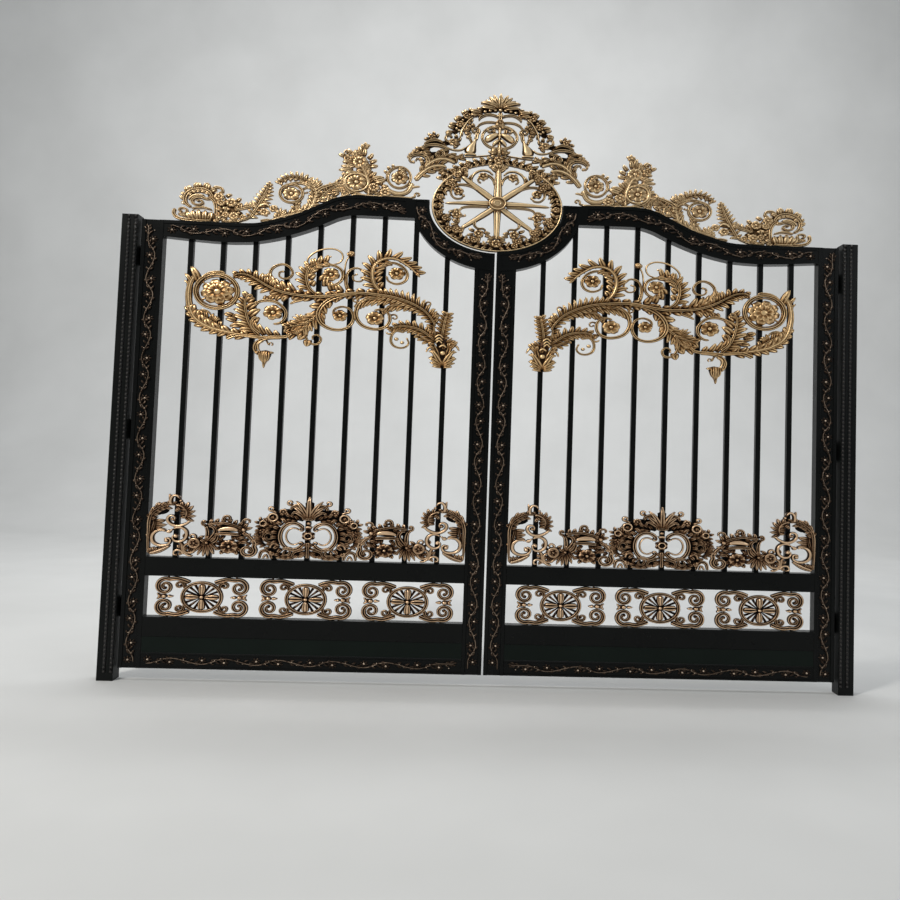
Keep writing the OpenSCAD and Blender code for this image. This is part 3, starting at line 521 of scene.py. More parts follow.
# ---------------------------------------------------------------- scroll panel
def scroll_panel():
    o = Shape()
    # great ring and its rosette
    o.oval((-1409, 1950), 108, 88, 9.5, 9, 4)
    o.oval((-1409, 1950), 94, 75, 4, 5, 2, "round")
    for a in (38, 142, 218, 322):
        x, z = math.cos(math.radians(a)), math.sin(math.radians(a))
        o.stem([(-1409 + 62 * x, 1950 + 50 * z), (-1409 + 98 * x, 1950 + 80 * z)], 5, 5, 0, "round")
    o.rosette((-1404, 1948), 84, 8, boss=20, h=8, turn=12)
    o.rosette((-1404, 1948), 60, 8, boss=25, h=9, turn=34, lift=6, back=False)
    o.stem([(-1490, 2012), (-1462, 2034), (-1425, 2048), (-1382, 2050), (-1372, 2036)], [5, 9, 9, 6, 4], 7, 3, "leaf")
    # band that climbs past the ring to the leaf at the top left, grown from the lower stem
    o.acanthus([(-1190, 1722), (-1262, 1730), (-1330, 1742), (-1400, 1756), (-1450, 1772), (-1500, 1802), (-1530, 1842), (-1545, 1895), (-1548, 1945), (-1538, 1995),
                (-1515, 2035)], [12, 15, 18, 20, 24, 24, 22, 18], [30, 34, 36, 30, 24], 12, 1, (42, 34), 22, (0.12, 0.62), kind="triple")
    p = o.p([(-1210, 1724), (-1290, 1734), (-1370, 1748), (-1440, 1768), (-1500, 1806), (-1532, 1850)])
    o.leaves(p, -1, 11, [26, 34, 40, 38, 30], None, (40, 36), 24, (0.1, 0.98), 3)
    o.finger((-1500, 2000), 108, 104, 19, 12, 8, 3, 5)
    o.finger((-1528, 1990), 122, 74, 12, 10, 6, 2, 4)
    o.finger((-1540, 1975), 130, 48, 8, 10, 5, 2, 3)
    # folded leaf inside the corner of the band
    o.acanthus([(-1375, 1766), (-1412, 1785), (-1448, 1806), (-1485, 1820), (-1500, 1836), (-1478, 1852), (-1448, 1846), (-1428, 1824)], [9, 10, 9, 7], [24, 34, 30, 22], 9, -1,
               (60, 50), 30, (0.05, 0.7), tip=False, step=6)
    o.fan((-1418, 1800), [20, 44, 70], 36, 8, 3)
    # lower stem
    o.stem([(-1020, 1752), (-1050, 1732), (-1115, 1727), (-1183, 1723), (-1250, 1729), (-1300, 1730), (-1352, 1712)], [8, 10, 10, 10, 12], 8, 5, "double", taper=(6, 3))
    # leaf between the ring and the second rosette
    o.acanthus([(-1180, 1726), (-1215, 1760), (-1242, 1805), (-1257, 1855), (-1263, 1900), (-1252, 1935), (-1232, 1942)], [12, 12, 10, 7], [40, 52, 48, 36, 26], 11, 1, (58, 46), 24,
               (0.05, 0.9), tip=False)
    p = o.p([(-1215, 1775), (-1240, 1820), (-1255, 1870), (-1258, 1905)])
    o.leaves(p, -1, 6, [34, 46, 44, 30], None, (60, 50), 30, (0.15, 0.98), 2)
    o.curl((-1237, 1925), 16, 18, 200, -60, 5, 6, 6, 5)
    o.stem([(-1180, 1742), (-1214, 1768), (-1226, 1798), (-1212, 1822), (-1190, 1818)], [8, 9, 8, 5], 7, 7, "double", step=6)
    p = o.p([(-1085, 1733), (-1140, 1735), (-1195, 1745), (-1225, 1765)])
    o.leaves(p, -1, 7, [26, 44, 52, 46], None, (64, 46), 22, (0.05, 0.95), 3)
    o.curl((-1302, 1822), 26, 30, 280, 20, 6, 6, 1, 6, lead=[(-1235, 1765), (-1275, 1780)])
    p = o.p([(-1235, 1765), (-1285, 1785), (-1330, 1835)])
    o.leaves(p, 1, 5, [30, 36, 26], None, (50, 40), 20, (0.1, 0.95), 1)
    # second rosette in its scroll
    o.stem([(-1228, 1888), (-1190, 1907), (-1150, 1913), (-1105, 1905), (-1068, 1876), (-1055, 1848), (-1066, 1816), (-1092, 1798), (-1120, 1794)], [7, 9, 8, 8, 6], 8, 4)
    o.rosette((-1122, 1854), 50, 6, boss=13, h=7, turn=20)
    # upper stem from the root on the right to its curling tip on the left
    o.stem([(-296, 1815), (-318, 1850), (-355, 1889), (-412, 1921), (-469, 1942), (-525, 1955), (-594, 1963), (-662, 1968), (-730, 1966), (-809, 1952), (-888, 1942), (-956, 1943),
            (-1036, 1950), (-1104, 1966), (-1160, 1990), (-1206, 2016), (-1255, 2038), (-1300, 2043), (-1322, 2034)], [5, 6, 7, 8, 9, 9, 8, 7, 5, 4], 9, 7, "double")
    # leaves along the middle of the stem
    p = o.p([(-560, 1962), (-640, 1968), (-730, 1966), (-809, 1954), (-888, 1944), (-956, 1944), (-1036, 1952), (-1110, 1970)])
    o.leaves(p, -1, 15, [26, 24, 22, 24, 28], None, (52, 44), 20, (0.02, 0.97), 3)
    o.leaves(p, 1, 15, [30, 28, 26, 30, 34], None, (50, 42), 20, (0.02, 0.97), 3)
    p = o.p([(-1130, 1975), (-1180, 2000), (-1225, 2026), (-1275, 2042), (-1315, 2040)])
    o.leaves(p, -1, 9, [40, 38, 32, 20], None, (66, 44), 18, (0.03, 0.97), 3)
    o.leaves(p, 1, 9, [40, 40, 34, 20], None, (66, 44), 18, (0.03, 0.97), 3)
    # broad leaf and small scroll on the stem
    o.acanthus([(-1010, 1952), (-1060, 1963), (-1105, 1980), (-1140, 2003), (-1160, 2030)], [12, 11, 8], [52, 46, 34], 7, -1, (54, 30), 16, (0.05, 0.9))
    o.stem([(-1085, 1972), (-1118, 1996), (-1143, 2032), (-1142, 2068), (-1118, 2092), (-1082, 2102), (-1048, 2088), (-1032, 2060), (-1045, 2035), (-1075, 2028), (-1098, 2040),
            (-1098, 2060), (-1082, 2066)], [9, 8, 7, 6, 4], 7, 3, step=6, eye=7)
    p = o.p([(-925, 1946), (-985, 1952), (-1050, 1962)])
    o.leaves(p, -1, 6, [34, 44, 50], 8, (66, 50), 10, (0.05, 0.95), 0)
    # hanging lobes under the stem
    p = o.p([(-1000, 1942), (-1060, 1946), (-1120, 1942), (-1158, 1932)])
    o.strip(p, [10, 12, 10, 5], 8, 3, "leaf", taper=(6, 6))
    o.leaves(p, 1, 5, [34, 32, 26, 20], None, (44, 36), 40, (0.3, 0.98), 2)
    o.stem([(-890, 1938), (-960, 1930), (-1010, 1915), (-1040, 1900)], [7, 10, 10, 5], 7, 1, "leaf")
    # third rosette with its leaves and thin hoop
    o.acanthus([(-860, 1946), (-905, 1955), (-940, 1980), (-957, 2020), (-958, 2060), (-944, 2092), (-915, 2110)], [12, 13, 12, 8], [30, 40, 44, 38, 30], 11, 1, (58, 50), 18, (0.12, 0.95))
    p = o.p([(-935, 1985), (-950, 2030), (-945, 2075), (-915, 2105), (-870, 2118)])
    o.leaves(p, -1, 7, [24, 30, 30, 24], None, (52, 40), 20, (0.1, 0.95), 2)
    o.leaves(p, 1, 6, [30, 36, 34], None, (54, 60), 14, (0.55, 1.0), 2)
    o.stem([(-962, 2100), (-957, 2140), (-922, 2172), (-872, 2191), (-826, 2192), (-792, 2176), (-782, 2150), (-797, 2124), (-832, 2112), (-858, 2124), (-860, 2145), (-845, 2152)],
           [5, 5, 5, 4, 3.5], 5, 0, "round", step=7, eye=6)
    o.stem([(-945, 2050), (-925, 2088), (-880, 2107), (-830, 2107), (-790, 2088), (-777, 2055), (-792, 2022), (-830, 2005), (-866, 2014)], [7, 8, 8, 6], 7, 4)
    o.rosette((-838, 2060), 44, 5, boss=11, h=7, turn=54)
    p = o.p([(-770, 1968), (-830, 1980), (-875, 2010), (-890, 2040)])
    o.leaves(p, -1, 5, [36, 36, 26], None, (56, 40), 20, (0.1, 0.9), 1)
    # stalk with its bud and the small curl beside it
    o.stem([(-748, 1972), (-764, 2015), (-770, 2080), (-764, 2130), (-748, 2160)], [7, 5, 4, 4], 5, 0, "round")
    o.bead((-741, 2170), 21, 12, 0)
    o.fan((-745, 2158), [50, 90, 130], 26, 8, 4)
    o.stem([(-742, 1975), (-758, 2020), (-757, 2062), (-740, 2088), (-704, 2098), (-674, 2080), (-668, 2050), (-690, 2030), (-720, 2034), (-726, 2056), (-708, 2066)], [6, 7, 6, 5, 4], 6, 1,
           step=6, eye=6)
    # fringed scroll with the fourth rosette
    o.acanthus([(-545, 1965), (-585, 1985), (-615, 2020), (-628, 2062), (-622, 2106), (-596, 2138), (-552, 2154), (-505, 2150), (-462, 2128), (-428, 2104), (-402, 2080)],
               [16, 16, 15, 13, 11, 7], [40, 44, 46, 44, 40, 34], 18, 1, (56, 48), 22, (0.1, 0.97), kind="triple")
    p = o.p([(-590, 1995), (-612, 2035), (-618, 2080), (-600, 2120), (-560, 2140)])
    o.leaves(p, -1, 8, [26, 34, 34, 28], None, (52, 50), 24, (0.05, 0.95), 1)
    o.stem([(-585, 2112), (-555, 2130), (-510, 2130), (-470, 2108), (-450, 2072), (-464, 2038), (-505, 2024), (-545, 2038), (-556, 2064)], [6, 8, 8, 7, 5], 7, 3, step=7)
    o.rosette((-504, 2078), 42, 6, boss=11, h=7)
    # great leaf on the right of the stem
    p = o.p([(-302, 1822), (-322, 1852), (-355, 1888), (-412, 1921), (-469, 1944), (-525, 1958), (-580, 1968)])
    o.leaves(p, -1, 17, [26, 36, 42, 44, 42, 38, 30], 11, (60, 46), 30, (0.03, 0.97), 3, h=8)
    o.leaves(p, 1, 16, [26, 34, 38, 38, 34, 30], 11, (60, 46), 30, (0.06, 0.97), 3, h=8)
    o.lobes([(-306, 1846, 62, -30), (-312, 1862, 74, -30), (-322, 1876, 84, -30)], [46, 44, 40], 11)
    o.curl((-334, 1925), 18, 18, 190, -40, 5, 6, 2, 5, lead=[(-340, 1880)])
    o.curl((-288, 1870), 14, 16, 200, -20, 4, 5, 2, 4, lead=[(-306, 1845)])
    # leaf under the stem, and the curl at its end
    o.acanthus([(-440, 1925), (-500, 1940), (-560, 1946), (-620, 1944), (-668, 1930), (-700, 1908)], [10, 13, 12, 8], [30, 40, 44, 40, 28], 12, 1, (50, 34), 24, (0.08, 0.96))
    o.curl((-712, 1930), 17, 16, -60, 260, 5, 6, 4, 5, lead=[(-640, 1955), (-685, 1950)])
    o.acanthus([(-375, 1905), (-425, 1912), (-480, 1915), (-530, 1908), (-565, 1888)], [9, 10, 9, 6], [26, 34, 34, 24], 8, 1, (50, 36), 26, (0.1, 0.96))
    # scroll of the fifth rosette, and the bunch of leaves beside it
    o.stem([(-700, 1966), (-770, 1955), (-835, 1930), (-878, 1893), (-895, 1850), (-880, 1810), (-840, 1784), (-790, 1776), (-745, 1789), (-719, 1820), (-716, 1855), (-736, 1885),
            (-775, 1896), (-812, 1882), (-820, 1856)], [12, 13, 12, 11, 9, 8, 6, 5], 9, 4, "double", step=7)
    o.rosette((-784, 1850), 38, 5, boss=10, h=7, turn=18)
    p = o.p([(-770, 1955), (-835, 1930), (-878, 1893), (-893, 1850)])
    o.leaves(p, -1, 6, [40, 46, 38], None, (46, 40), 20, (0.1, 0.9), 2)
    o.leaves(p, 1, 6, [22, 34, 30], None, (50, 46), 26, (0.2, 0.95), 1)
    o.acanthus([(-880, 1868), (-905, 1838), (-945, 1812), (-990, 1793), (-1040, 1782)], [11, 11, 9, 6], [44, 50, 44, 34], 8, 0, (52, 30), 22, (0.1, 0.94))
    o.acanthus([(-935, 1815), (-960, 1785), (-985, 1758), (-1020, 1745)], [9, 8, 6], [36, 38, 30], 6, 0, (48, 30), 22, (0.1, 0.92))
    o.fan((-960, 1815), [118, 138, 158], [52, 66, 70], 9, 2)
    o.fan((-985, 1775), [232, 250, 268], [52, 48, 40], 8, 2)
    o.stem([(-950, 1800), (-958, 1755), (-942, 1716), (-912, 1698), (-885, 1704), (-875, 1728), (-892, 1746), (-915, 1740), (-918, 1726)], [8, 7, 6, 4], 7, 3, step=5, eye=6)
    p = o.p([(-930, 1830), (-955, 1790), (-958, 1745), (-935, 1712)])
    o.leaves(p, -1, 6, [28, 34, 26], None, (48, 40), 20, (0.1, 0.95), 2)
    # sixth rosette
    o.stem([(-600, 1955), (-650, 1944), (-688, 1915), (-703, 1875), (-698, 1838), (-672, 1806), (-630, 1790), (-585, 1788), (-546, 1805), (-530, 1840), (-541, 1872), (-575, 1889),
            (-612, 1883)], [9, 10, 10, 9, 8, 6], 8, 4, step=7)
    o.rosette((-607, 1843), 46, 5, boss=11, h=7, turn=90)
    o.stem([(-712, 1868), (-706, 1850), (-712, 1832)], [6, 8, 6], 6, 1, "round")
    o.curl((-509, 1851), 22, 18, 165, -150, 4.5, 6, 1, 6, lead=[(-540, 1846)])
    # leaf and curl low on the right
    o.acanthus([(-290, 1738), (-326, 1762), (-362, 1786), (-406, 1802), (-456, 1808), (-500, 1802), (-524, 1786)], [9, 10, 10, 8, 6], [30, 34, 34, 28, 20], 12, 0, (64, 48), 22, (0.04, 0.95))
    o.acanthus([(-300, 1730), (-340, 1742), (-378, 1762)], [8, 8, 6], [24, 26, 20], 5, 1, (60, 44), 22, (0.05, 0.95))
    o.stem([(-455, 1776), (-495, 1782), (-517, 1762), (-521, 1730), (-506, 1706), (-475, 1696), (-446, 1702), (-431, 1722), (-440, 1745)], [6, 7, 7, 6, 4], 7, 3, step=6, eye=6)
    o.bead((-494, 1741), 12, 8, 2)
    o.bead((-464, 1724), 11, 8, 2)
    o.stem([(-510, 1770), (-535, 1766), (-550, 1776)], [5, 6, 3], 6, 2, "round")
    # bud at the foot of the root
    for i, z in enumerate((1766, 1751, 1737)):
        o.stem([(-300 + 3 * i, z - 14), (-276, z + 3), (-252 - 3 * i, z - 14)], [5, 6, 5], 8, 8, "round")
    o.stem([(-264, 1770), (-264, 1735), (-260, 1700), (-256, 1650), (-256, 1618)], [14, 24, 22, 24, 12], 7, 0, "flat", tone=0.05)
    o.stem([(-258, 1728), (-252, 1712), (-250, 1694)], [10, 12, 8], 7, 5, "leaf")
    o.stem([(-238, 1650), (-227, 1686), (-214, 1716), (-192, 1744)], [8, 13, 14, 8], 8, 3, "double")
    o.lobes([(-222, 1700, 40, 30), (-214, 1716, 30, 30), (-222, 1706, 110, -30)], [40, 44, 34], 10.5, lift=5)
    o.stem([(-274, 1650), (-286, 1680), (-300, 1706), (-314, 1730)], [8, 12, 12, 7], 8, 3, "double")
    o.lobes([(-296, 1698, 160, -30), (-304, 1714, 150, -30)], [36, 36], 10, lift=5)
    for k in (1, -1):
        o.lobes([(-256 - 3 * k, 1612, 90 + k * 22, k * 12), (-256 - 3 * k, 1610, 90 + k * 40, k * 26), (-256 - 4 * k, 1608, 90 + k * 58, k * 20), (-256 - 5 * k, 1606, 90 + k * 82, k * 10)],
                [122, 88, 66, 46], [14, 12, 11, 10], lift=7)
        o.lobes([(-256 - 34 * k, 1668, 90 + k * 30, k * 70), (-256 - 40 * k, 1650, 90 + k * 60, k * 40)], [46, 26], 10, lift=4)
    o.bead((-255, 1676), 17, 14, 9, tone=1.15)
    o.stem([(-276, 1704), (-256, 1716), (-236, 1704)], [5, 7, 5], 9, 8, "round", step=6)
    o.acanthus([(-262, 1745), (-258, 1790), (-250, 1836), (-240, 1876)], [9, 9, 7], [24, 28, 28, 24], 10, 0, (70, 52), 20, (0.04, 0.97))
    o.acanthus([(-282, 1735), (-296, 1766), (-304, 1800), (-306, 1830)], [8, 8, 7], [24, 28, 26], 7, 1, (64, 50), 20, (0.04, 0.97), tip=False)
    o.stem([(-290, 1682), (-308, 1700), (-328, 1702), (-338, 1684)], [6, 7, 5], 7, 3, "round", step=5, eye=5)
    o.stem([(-224, 1690), (-206, 1712), (-186, 1714), (-174, 1696)], [6, 7, 5], 7, 3, "round", step=5, eye=5)
    o.fan((-242, 1728), [28, 50], 50, 8, 1)
    # bud under the lower stem
    o.stem([(-1075, 1724), (-1130, 1722), (-1166, 1713), (-1194, 1698), (-1205, 1672), (-1198, 1650), (-1180, 1634)], [8, 10, 10, 8], 8, 3)
    o.stem([(-1164, 1706), (-1186, 1692), (-1188, 1668), (-1174, 1646)], [4, 5, 4], 6, 7, "round", step=6)
    o.bead((-1150, 1638), 30, 12, 0)
    for k in (1, -1):
        o.finger((-1155 - 15 * k, 1654), 270 - k * 18, 76, 10, k * 58, 9, 3, 5)
        o.finger((-1155 - 6 * k, 1656), 270 - k * 7, 88, 9.5, k * 20, 9, 6, 5)
        o.lobes([(-1155 - 22 * k, 1648, 90 + k * 100, -k * 30)], 24, 8.5)
    o.finger((-1156, 1604), 268, 46, 7, 0, 7, 2, 2)
    o.curl((-1122, 1690), 14, 12, 200, -60, 4, 5, 1, 5, lead=[(-1150, 1712)])
    return o


# ---------------------------------------------------------------- middle rail ornament
def crest_half():
    """The left half of the crest on the middle rail, about x = 0."""
    o = Shape()
    # the web behind the leaves
    o.back([(-10, 820), (-66, 834), (-128, 832), (-182, 804), (-222, 758), (-232, 710)], [30, 36, 36, 36, 34, 26])
    o.back([(-160, 780), (-174, 720), (-168, 660), (-150, 622)], [28, 30, 28, 16])
    o.back([(-10, 650), (-60, 640), (-120, 634), (-160, 630)], [14, 14, 18, 12])
    o.back([(-215, 720), (-252, 704), (-280, 704)], [20, 18, 8])
    # paired C rings, an outer one with two ridges and a slim one inside
    o.oval((-77, 727), 63, 66, 10.5, 9, 5, "double", span=(36, 324), n=40)
    o.oval((-73, 727), 39, 41, 5, 7, 2, "round", span=(48, 312), n=28)
    o.curl((-38, 762), 13, 11, 60, -210, (5, 3.5), 7, 3, 6, kind="round")
    o.curl((-38, 692), 13, 11, -60, 210, (5, 3.5), 7, 3, 6, kind="round")
    # curled leaves on both sides of the palmette
    o.stem([(-12, 812), (-17, 846), (-34, 872), (-60, 882), (-86, 872), (-92, 856)], [7, 9, 10, 9, 6], 9, 5, "double", step=6)
    o.stem([(-22, 808), (-34, 832), (-54, 846), (-76, 846), (-84, 834)], [6, 8, 8, 5], 9, 7, "double", step=6)
    o.lobes([(-52, 812, 118), (-70, 820, 132), (-88, 824, 146), (-60, 800, 160), (-84, 806, 168), (-104, 828, 110), (-112, 812, 175), (-96, 800, 186)], 34, 9.5, bend=24)
    # hooks with their eyes on the outline
    o.curl((-96, 894), 15, 12, 300, -40, (6, 4.5), 7, 3, 5, inner=0.5, kind="round", lead=[(-84, 858), (-80, 874)])
    o.curl((-188, 862), 15, 11, 280, -60, (6, 4.5), 7, 3, 5, inner=0.5, kind="round", lead=[(-162, 838), (-172, 846)])
    # flowers on the shoulder
    o.rosette((-128, 848), 21, 5, boss=6.5, h=7, lift=5)
    o.oval((-178, 820), 22, 18, 6, 8, 7, "round", n=28)
    o.bead((-178, 820), 11, 9, 8, tone=1.15)
    o.oval((-226, 788), 16, 13, 5, 8, 6, "round", n=22)
    o.bead((-226, 788), 7.5, 8, 7, tone=1.15)
    o.lobes([(-142, 828, 60), (-150, 808, 150), (-140, 800, 205), (-202, 806, 100), (-206, 802, 150), (-196, 794, 230), (-238, 800, 110), (-246, 790, 170)], 26, 9, bend=-20)
    # leaves round the outer side
    o.lobes([(-150, 782, 150), (-168, 774, 168), (-184, 766, 190), (-206, 768, 140), (-232, 770, 168), (-236, 756, 190), (-206, 752, 205), (-240, 742, 200), (-224, 736, 236), (-160, 756, 215),
             (-236, 722, 196), (-230, 712, 168)], [34, 36, 34, 34, 36, 34, 34, 34], 10, bend=26)
    o.rosette((-226, 746), 20, 5, boss=7, h=7, lift=5, turn=30)
    o.curl((-196, 722), 25, 22, 150, -190, (8, 5), 8, 5, 7, inner=0.36, lead=[(-162, 690), (-196, 696), (-220, 710)])
    o.lobes([(-112, 794, 120), (-132, 782, 136), (-146, 764, 150), (-153, 744, 166), (-155, 722, 180), (-152, 700, 196), (-144, 680, 212), (-130, 664, 226)], [36, 38, 36, 38, 36, 38, 36, 34], 11.5,
            bend=24, lift=6)
    o.lobes([(-186, 806, 66), (-204, 792, 84), (-176, 786, 108), (-198, 776, 128), (-190, 744, 148), (-206, 700, 120), (-180, 690, 196), (-188, 660, 150)], 32, 10.5, bend=24, lift=5)
    # spray that leans out over the rail
    o.lobes([(-224, 700, 176, -10), (-232, 706, 158, -18), (-236, 714, 140, -24), (-222, 692, 196, 10), (-212, 684, 214, 16), (-246, 700, 186, 0)], [58, 52, 40, 50, 36, 44], 9.5)
    o.curl((-166, 668), 22, 22, 20, 190, (7, 6), 8, 5, 0, inner=0.9, kind="round")
    o.curl((-174, 640), 13, 11, 100, 420, (6, 4), 8, 4, 5, inner=0.4, kind="round")
    o.stem([(-178, 612), (-186, 636), (-206, 652), (-232, 644), (-240, 612)], [7, 9, 10, 9, 6], 9, 3, "double", step=6)
    o.stem([(-196, 612), (-208, 632), (-224, 612)], [5, 6, 5], 7, 3, "round", step=6)
    # scroll and leaves under the ring
    o.curl((-108, 646), 27, 21, 130, -250, (8, 5), 9, 5, 8, inner=0.32, lead=[(-62, 652), (-92, 668)])
    o.stem([(-8, 668), (-34, 660), (-64, 650), (-74, 630), (-56, 622), (-48, 634)], [6, 8, 7, 6, 4], 8, 6, "double", step=6)
    o.lobes([(-10, 650, 196, 20), (-12, 640, 214, 10), (-70, 622, 196, -14), (-96, 618, 188, -10), (-124, 620, 176, 20)], [38, 34, 40, 40, 34], 8.5)
    o.lobes([(-24, 640, 236, -20), (-46, 636, 228, -20), (-76, 636, 220, -20), (-106, 636, 214, -20), (-136, 640, 208, -20), (-160, 646, 216, -20)], 34, 10.5)
    return o


def lower_crest():
    o = Shape()
    half = crest_half()
    o.join(half, dx=-894)
    o.join(half, dx=-894, flip=True)
    # palmette and the flower in the middle
    o.back([(-894, 815), (-894, 850), (-894, 905)], [10, 20, 24])
    for a, l, w in ((42, 92, 13), (28, 116, 14), (14, 136, 14)):
        for k in (1, -1):
            o.finger((-894 + 5 * k, 812), 90 - k * a, l, w, -k * 30, 10, 5 + (40 - a) / 12, 5)
    o.finger((-894, 812), 90, 150, 15, 0, 10, 9, 5)
    o.stem([(-918, 810), (-894, 815), (-870, 810)], [7, 8, 7], 9, 9, "double", step=6)
    o.bead((-894, 793), 13, 11, 8, tone=1.1)
    o.stem([(-912, 772), (-894, 776), (-876, 772)], [6, 8, 6], 9, 9, "round", step=6)
    o.rosette((-894, 731), 33, 6, boss=12, h=9, turn=30, lift=4)
    o.oval((-894, 731), 18, 14, 4.5, 8, 11, "round", n=24)
    o.fan((-894, 762), [50, 90, 130], 26, 8, 7)
    o.stem([(-894, 700), (-894, 660), (-894, 618)], [8, 7, 9], 9, 6, "double")
    o.fan((-894, 694), [215, 250, 290, 325], 34, 9, 6)
    o.fan((-894, 652), [205, 228, 312, 335], 42, 9, 5)
    return o


def corner_piece():
    """Scrolls beside the hinge stile and the arch on the way to the crest, for the left side of a leaf."""
    o = Shape(bold=(1.35, 1.2, 1.7, 1.6))
    # leaf that rises from the stile and closes over the upper scroll
    o.back([(-1676, 780), (-1665, 812), (-1641, 830), (-1613, 837), (-1588, 851)], [8, 12, 20, 22, 14])
    o.stem([(-1679, 626), (-1682, 682), (-1682, 738), (-1681, 788), (-1671, 819), (-1648, 842), (-1620, 858), (-1588, 869), (-1557, 868)], [4, 5, 6, 7, 8, 8, 8, 7, 6], 9, 5, "double")
    o.lobes([(-1648, 844, 91, -30), (-1669, 823, 90, -30), (-1620, 859, 72, -30), (-1592, 869, 78, -30), (-1634, 852, 80, -30), (-1674, 805, 93, -20)],
            [47, 47, 34, 32, 36, 49], 10, lift=6)
    o.lobes([(-1669, 812, 11, 30), (-1677, 795, 11, 30), (-1655, 830, 7, 30), (-1634, 845, -3, 26), (-1606, 858, -33, 20)],
            [38, 37, 37, 35, 35], 9.5, lift=6)
    o.stem([(-1558, 868), (-1532, 864), (-1509, 850), (-1499, 828), (-1506, 805)], [6, 10, 12, 11, 8], 9, 6, "triple")
    o.lobes([(-1525, 858, 78, 40), (-1515, 849, 49, 40), (-1507, 840, 26, 40), (-1502, 831, 1, 40), (-1501, 821, -28, 36), (-1504, 810, -50, 30), (-1539, 858, -101, -30)],
            [36, 50, 49, 44, 46, 49, 36], 11, lift=6)
    o.lobes([(-1529, 840, 21, -36), (-1532, 826, 7, -30), (-1529, 812, -13, -20), (-1550, 854, -28, -30)],
            [34, 37, 32, 28], 10, lift=10)
    o.stem([(-1479, 792), (-1502, 775), (-1532, 764), (-1560, 766), (-1583, 779), (-1592, 797), (-1583, 812), (-1565, 814), (-1555, 803), (-1560, 792)], [5, 7, 8.5, 8.5, 8, 8, 7, 5, 4], 9, 7, "round", step=6, eye=8)
    o.bead((-1567, 797), 12, 11, 8, tone=1.1)
    o.stem([(-1578, 868), (-1582, 888), (-1577, 905), (-1564, 915), (-1547, 912), (-1539, 901)], [8, 8, 7, 6, 4], 9, 6, "round", step=6, eye=6)
    o.lobes([(-1581, 873, 88, 24), (-1574, 871, 37, -20)],
            [65, 31], 9, lift=3)
    o.bead((-1533, 888), 9, 9, 6, tone=1.1)
    o.lobes([(-1650, 784, 2, 20), (-1650, 765, -2, 12), (-1650, 746, -6, 6)],
            [48, 52, 50], 13, lift=7, tone=1.1)
    o.acanthus([(-1671, 696), (-1665, 735), (-1657, 766), (-1655, 791), (-1665, 809)], [8, 10, 10, 7], [20, 26, 24], 6, 1, (50, 40), 20, (0.1, 0.95))
    o.stem([(-1562, 748), (-1543, 756), (-1518, 755), (-1499, 740), (-1495, 717), (-1507, 696), (-1532, 686), (-1555, 693), (-1563, 710), (-1552, 719)], [5, 7, 8, 8.5, 8.5, 8, 7, 5, 4], 9, 5, "round", step=6, eye=8)
    o.bead((-1549, 712), 13, 11, 7, tone=1.1)
    o.bead((-1583, 735), 13, 10, 6, tone=1.1)
    o.stem([(-1562, 748), (-1574, 740), (-1585, 733), (-1599, 735)], [4, 5, 6, 4], 8, 3, "round", step=6)
    o.stem([(-1597, 735), (-1616, 741), (-1641, 737), (-1660, 721), (-1665, 702), (-1657, 680), (-1634, 667), (-1606, 665), (-1582, 673), (-1572, 691), (-1583, 703), (-1597, 698)], [6, 7, 8.5, 8.5, 8.5, 8.5, 8, 7, 5, 4], 9, 5, "round", step=6, eye=9)
    o.bead((-1592, 690), 14, 12, 7, tone=1.1)
    o.stem([(-1574, 666), (-1602, 652), (-1630, 640), (-1655, 631), (-1678, 624)], [5, 10, 13, 12, 8], 9, 4, "triple")
    o.lobes([(-1648, 635, 79, -30), (-1662, 631, 92, -30), (-1674, 630, 94, -20)],
            [33, 36, 32], 9, lift=6)
    o.stem([(-1529, 687), (-1516, 672), (-1513, 654), (-1506, 637), (-1486, 621), (-1462, 617)], [6, 8, 7, 6, 5], 8, 4, "round", step=6)
    o.lobes([(-1515, 668, -156, 30), (-1513, 654, 151, -30), (-1507, 640, -135, 20)],
            [30, 35, 37], 9, lift=4)
    o.stem([(-1493, 682), (-1476, 693), (-1453, 702), (-1453, 717), (-1467, 724), (-1478, 714), (-1471, 705)], [5, 6, 6, 5, 3.5], 8, 4, "round", step=5, eye=6)
    o.oval((-1479, 654), 27, 23, 6.5, 8, 4, "round", n=28)
    o.stem([(-1506, 624), (-1516, 639), (-1536, 645), (-1552, 637), (-1553, 623), (-1541, 621)], [6, 7, 6, 5], 8, 5, "round", step=5, eye=7)
    # first flower
    o.stem([(-1510, 628), (-1486, 632), (-1470, 652), (-1462, 672)], [6, 8, 8, 6], 8, 3)
    o.curl((-1496, 716), 14, 12, 200, -60, (5, 4), 7, 3, 6, lead=[(-1476, 690)])
    o.oval((-1456, 681), 24, 21, 8, 9, 5, "round", n=30)
    o.rosette((-1456, 681), 22, 5, boss=9, h=8, lift=7)
    o.lobes([(-1430, 668, 30, -30), (-1434, 700, 60, -40), (-1480, 660, 210, 20), (-1470, 646, 250, 20)], [40, 34, 34, 30], 9.5, lift=4)
    # tuft of long leaves tied beside the flower
    o.lobes([(-1412, 684, 206, 20), (-1408, 680, 222, 18), (-1404, 678, 240, 12), (-1398, 676, 258, 6), (-1392, 678, 276, -6), (-1386, 680, 296, -12), (-1380, 684, 316, -16)],
            [74, 80, 82, 80, 78, 74, 62], 9.5, lift=5)
    o.lobes([(-1398, 686, 150, -20), (-1390, 690, 90, 20), (-1382, 690, 40, 30)], [34, 40, 44], 9.5, lift=7)
    o.bead((-1396, 684), 12, 10, 8, tone=1.05)
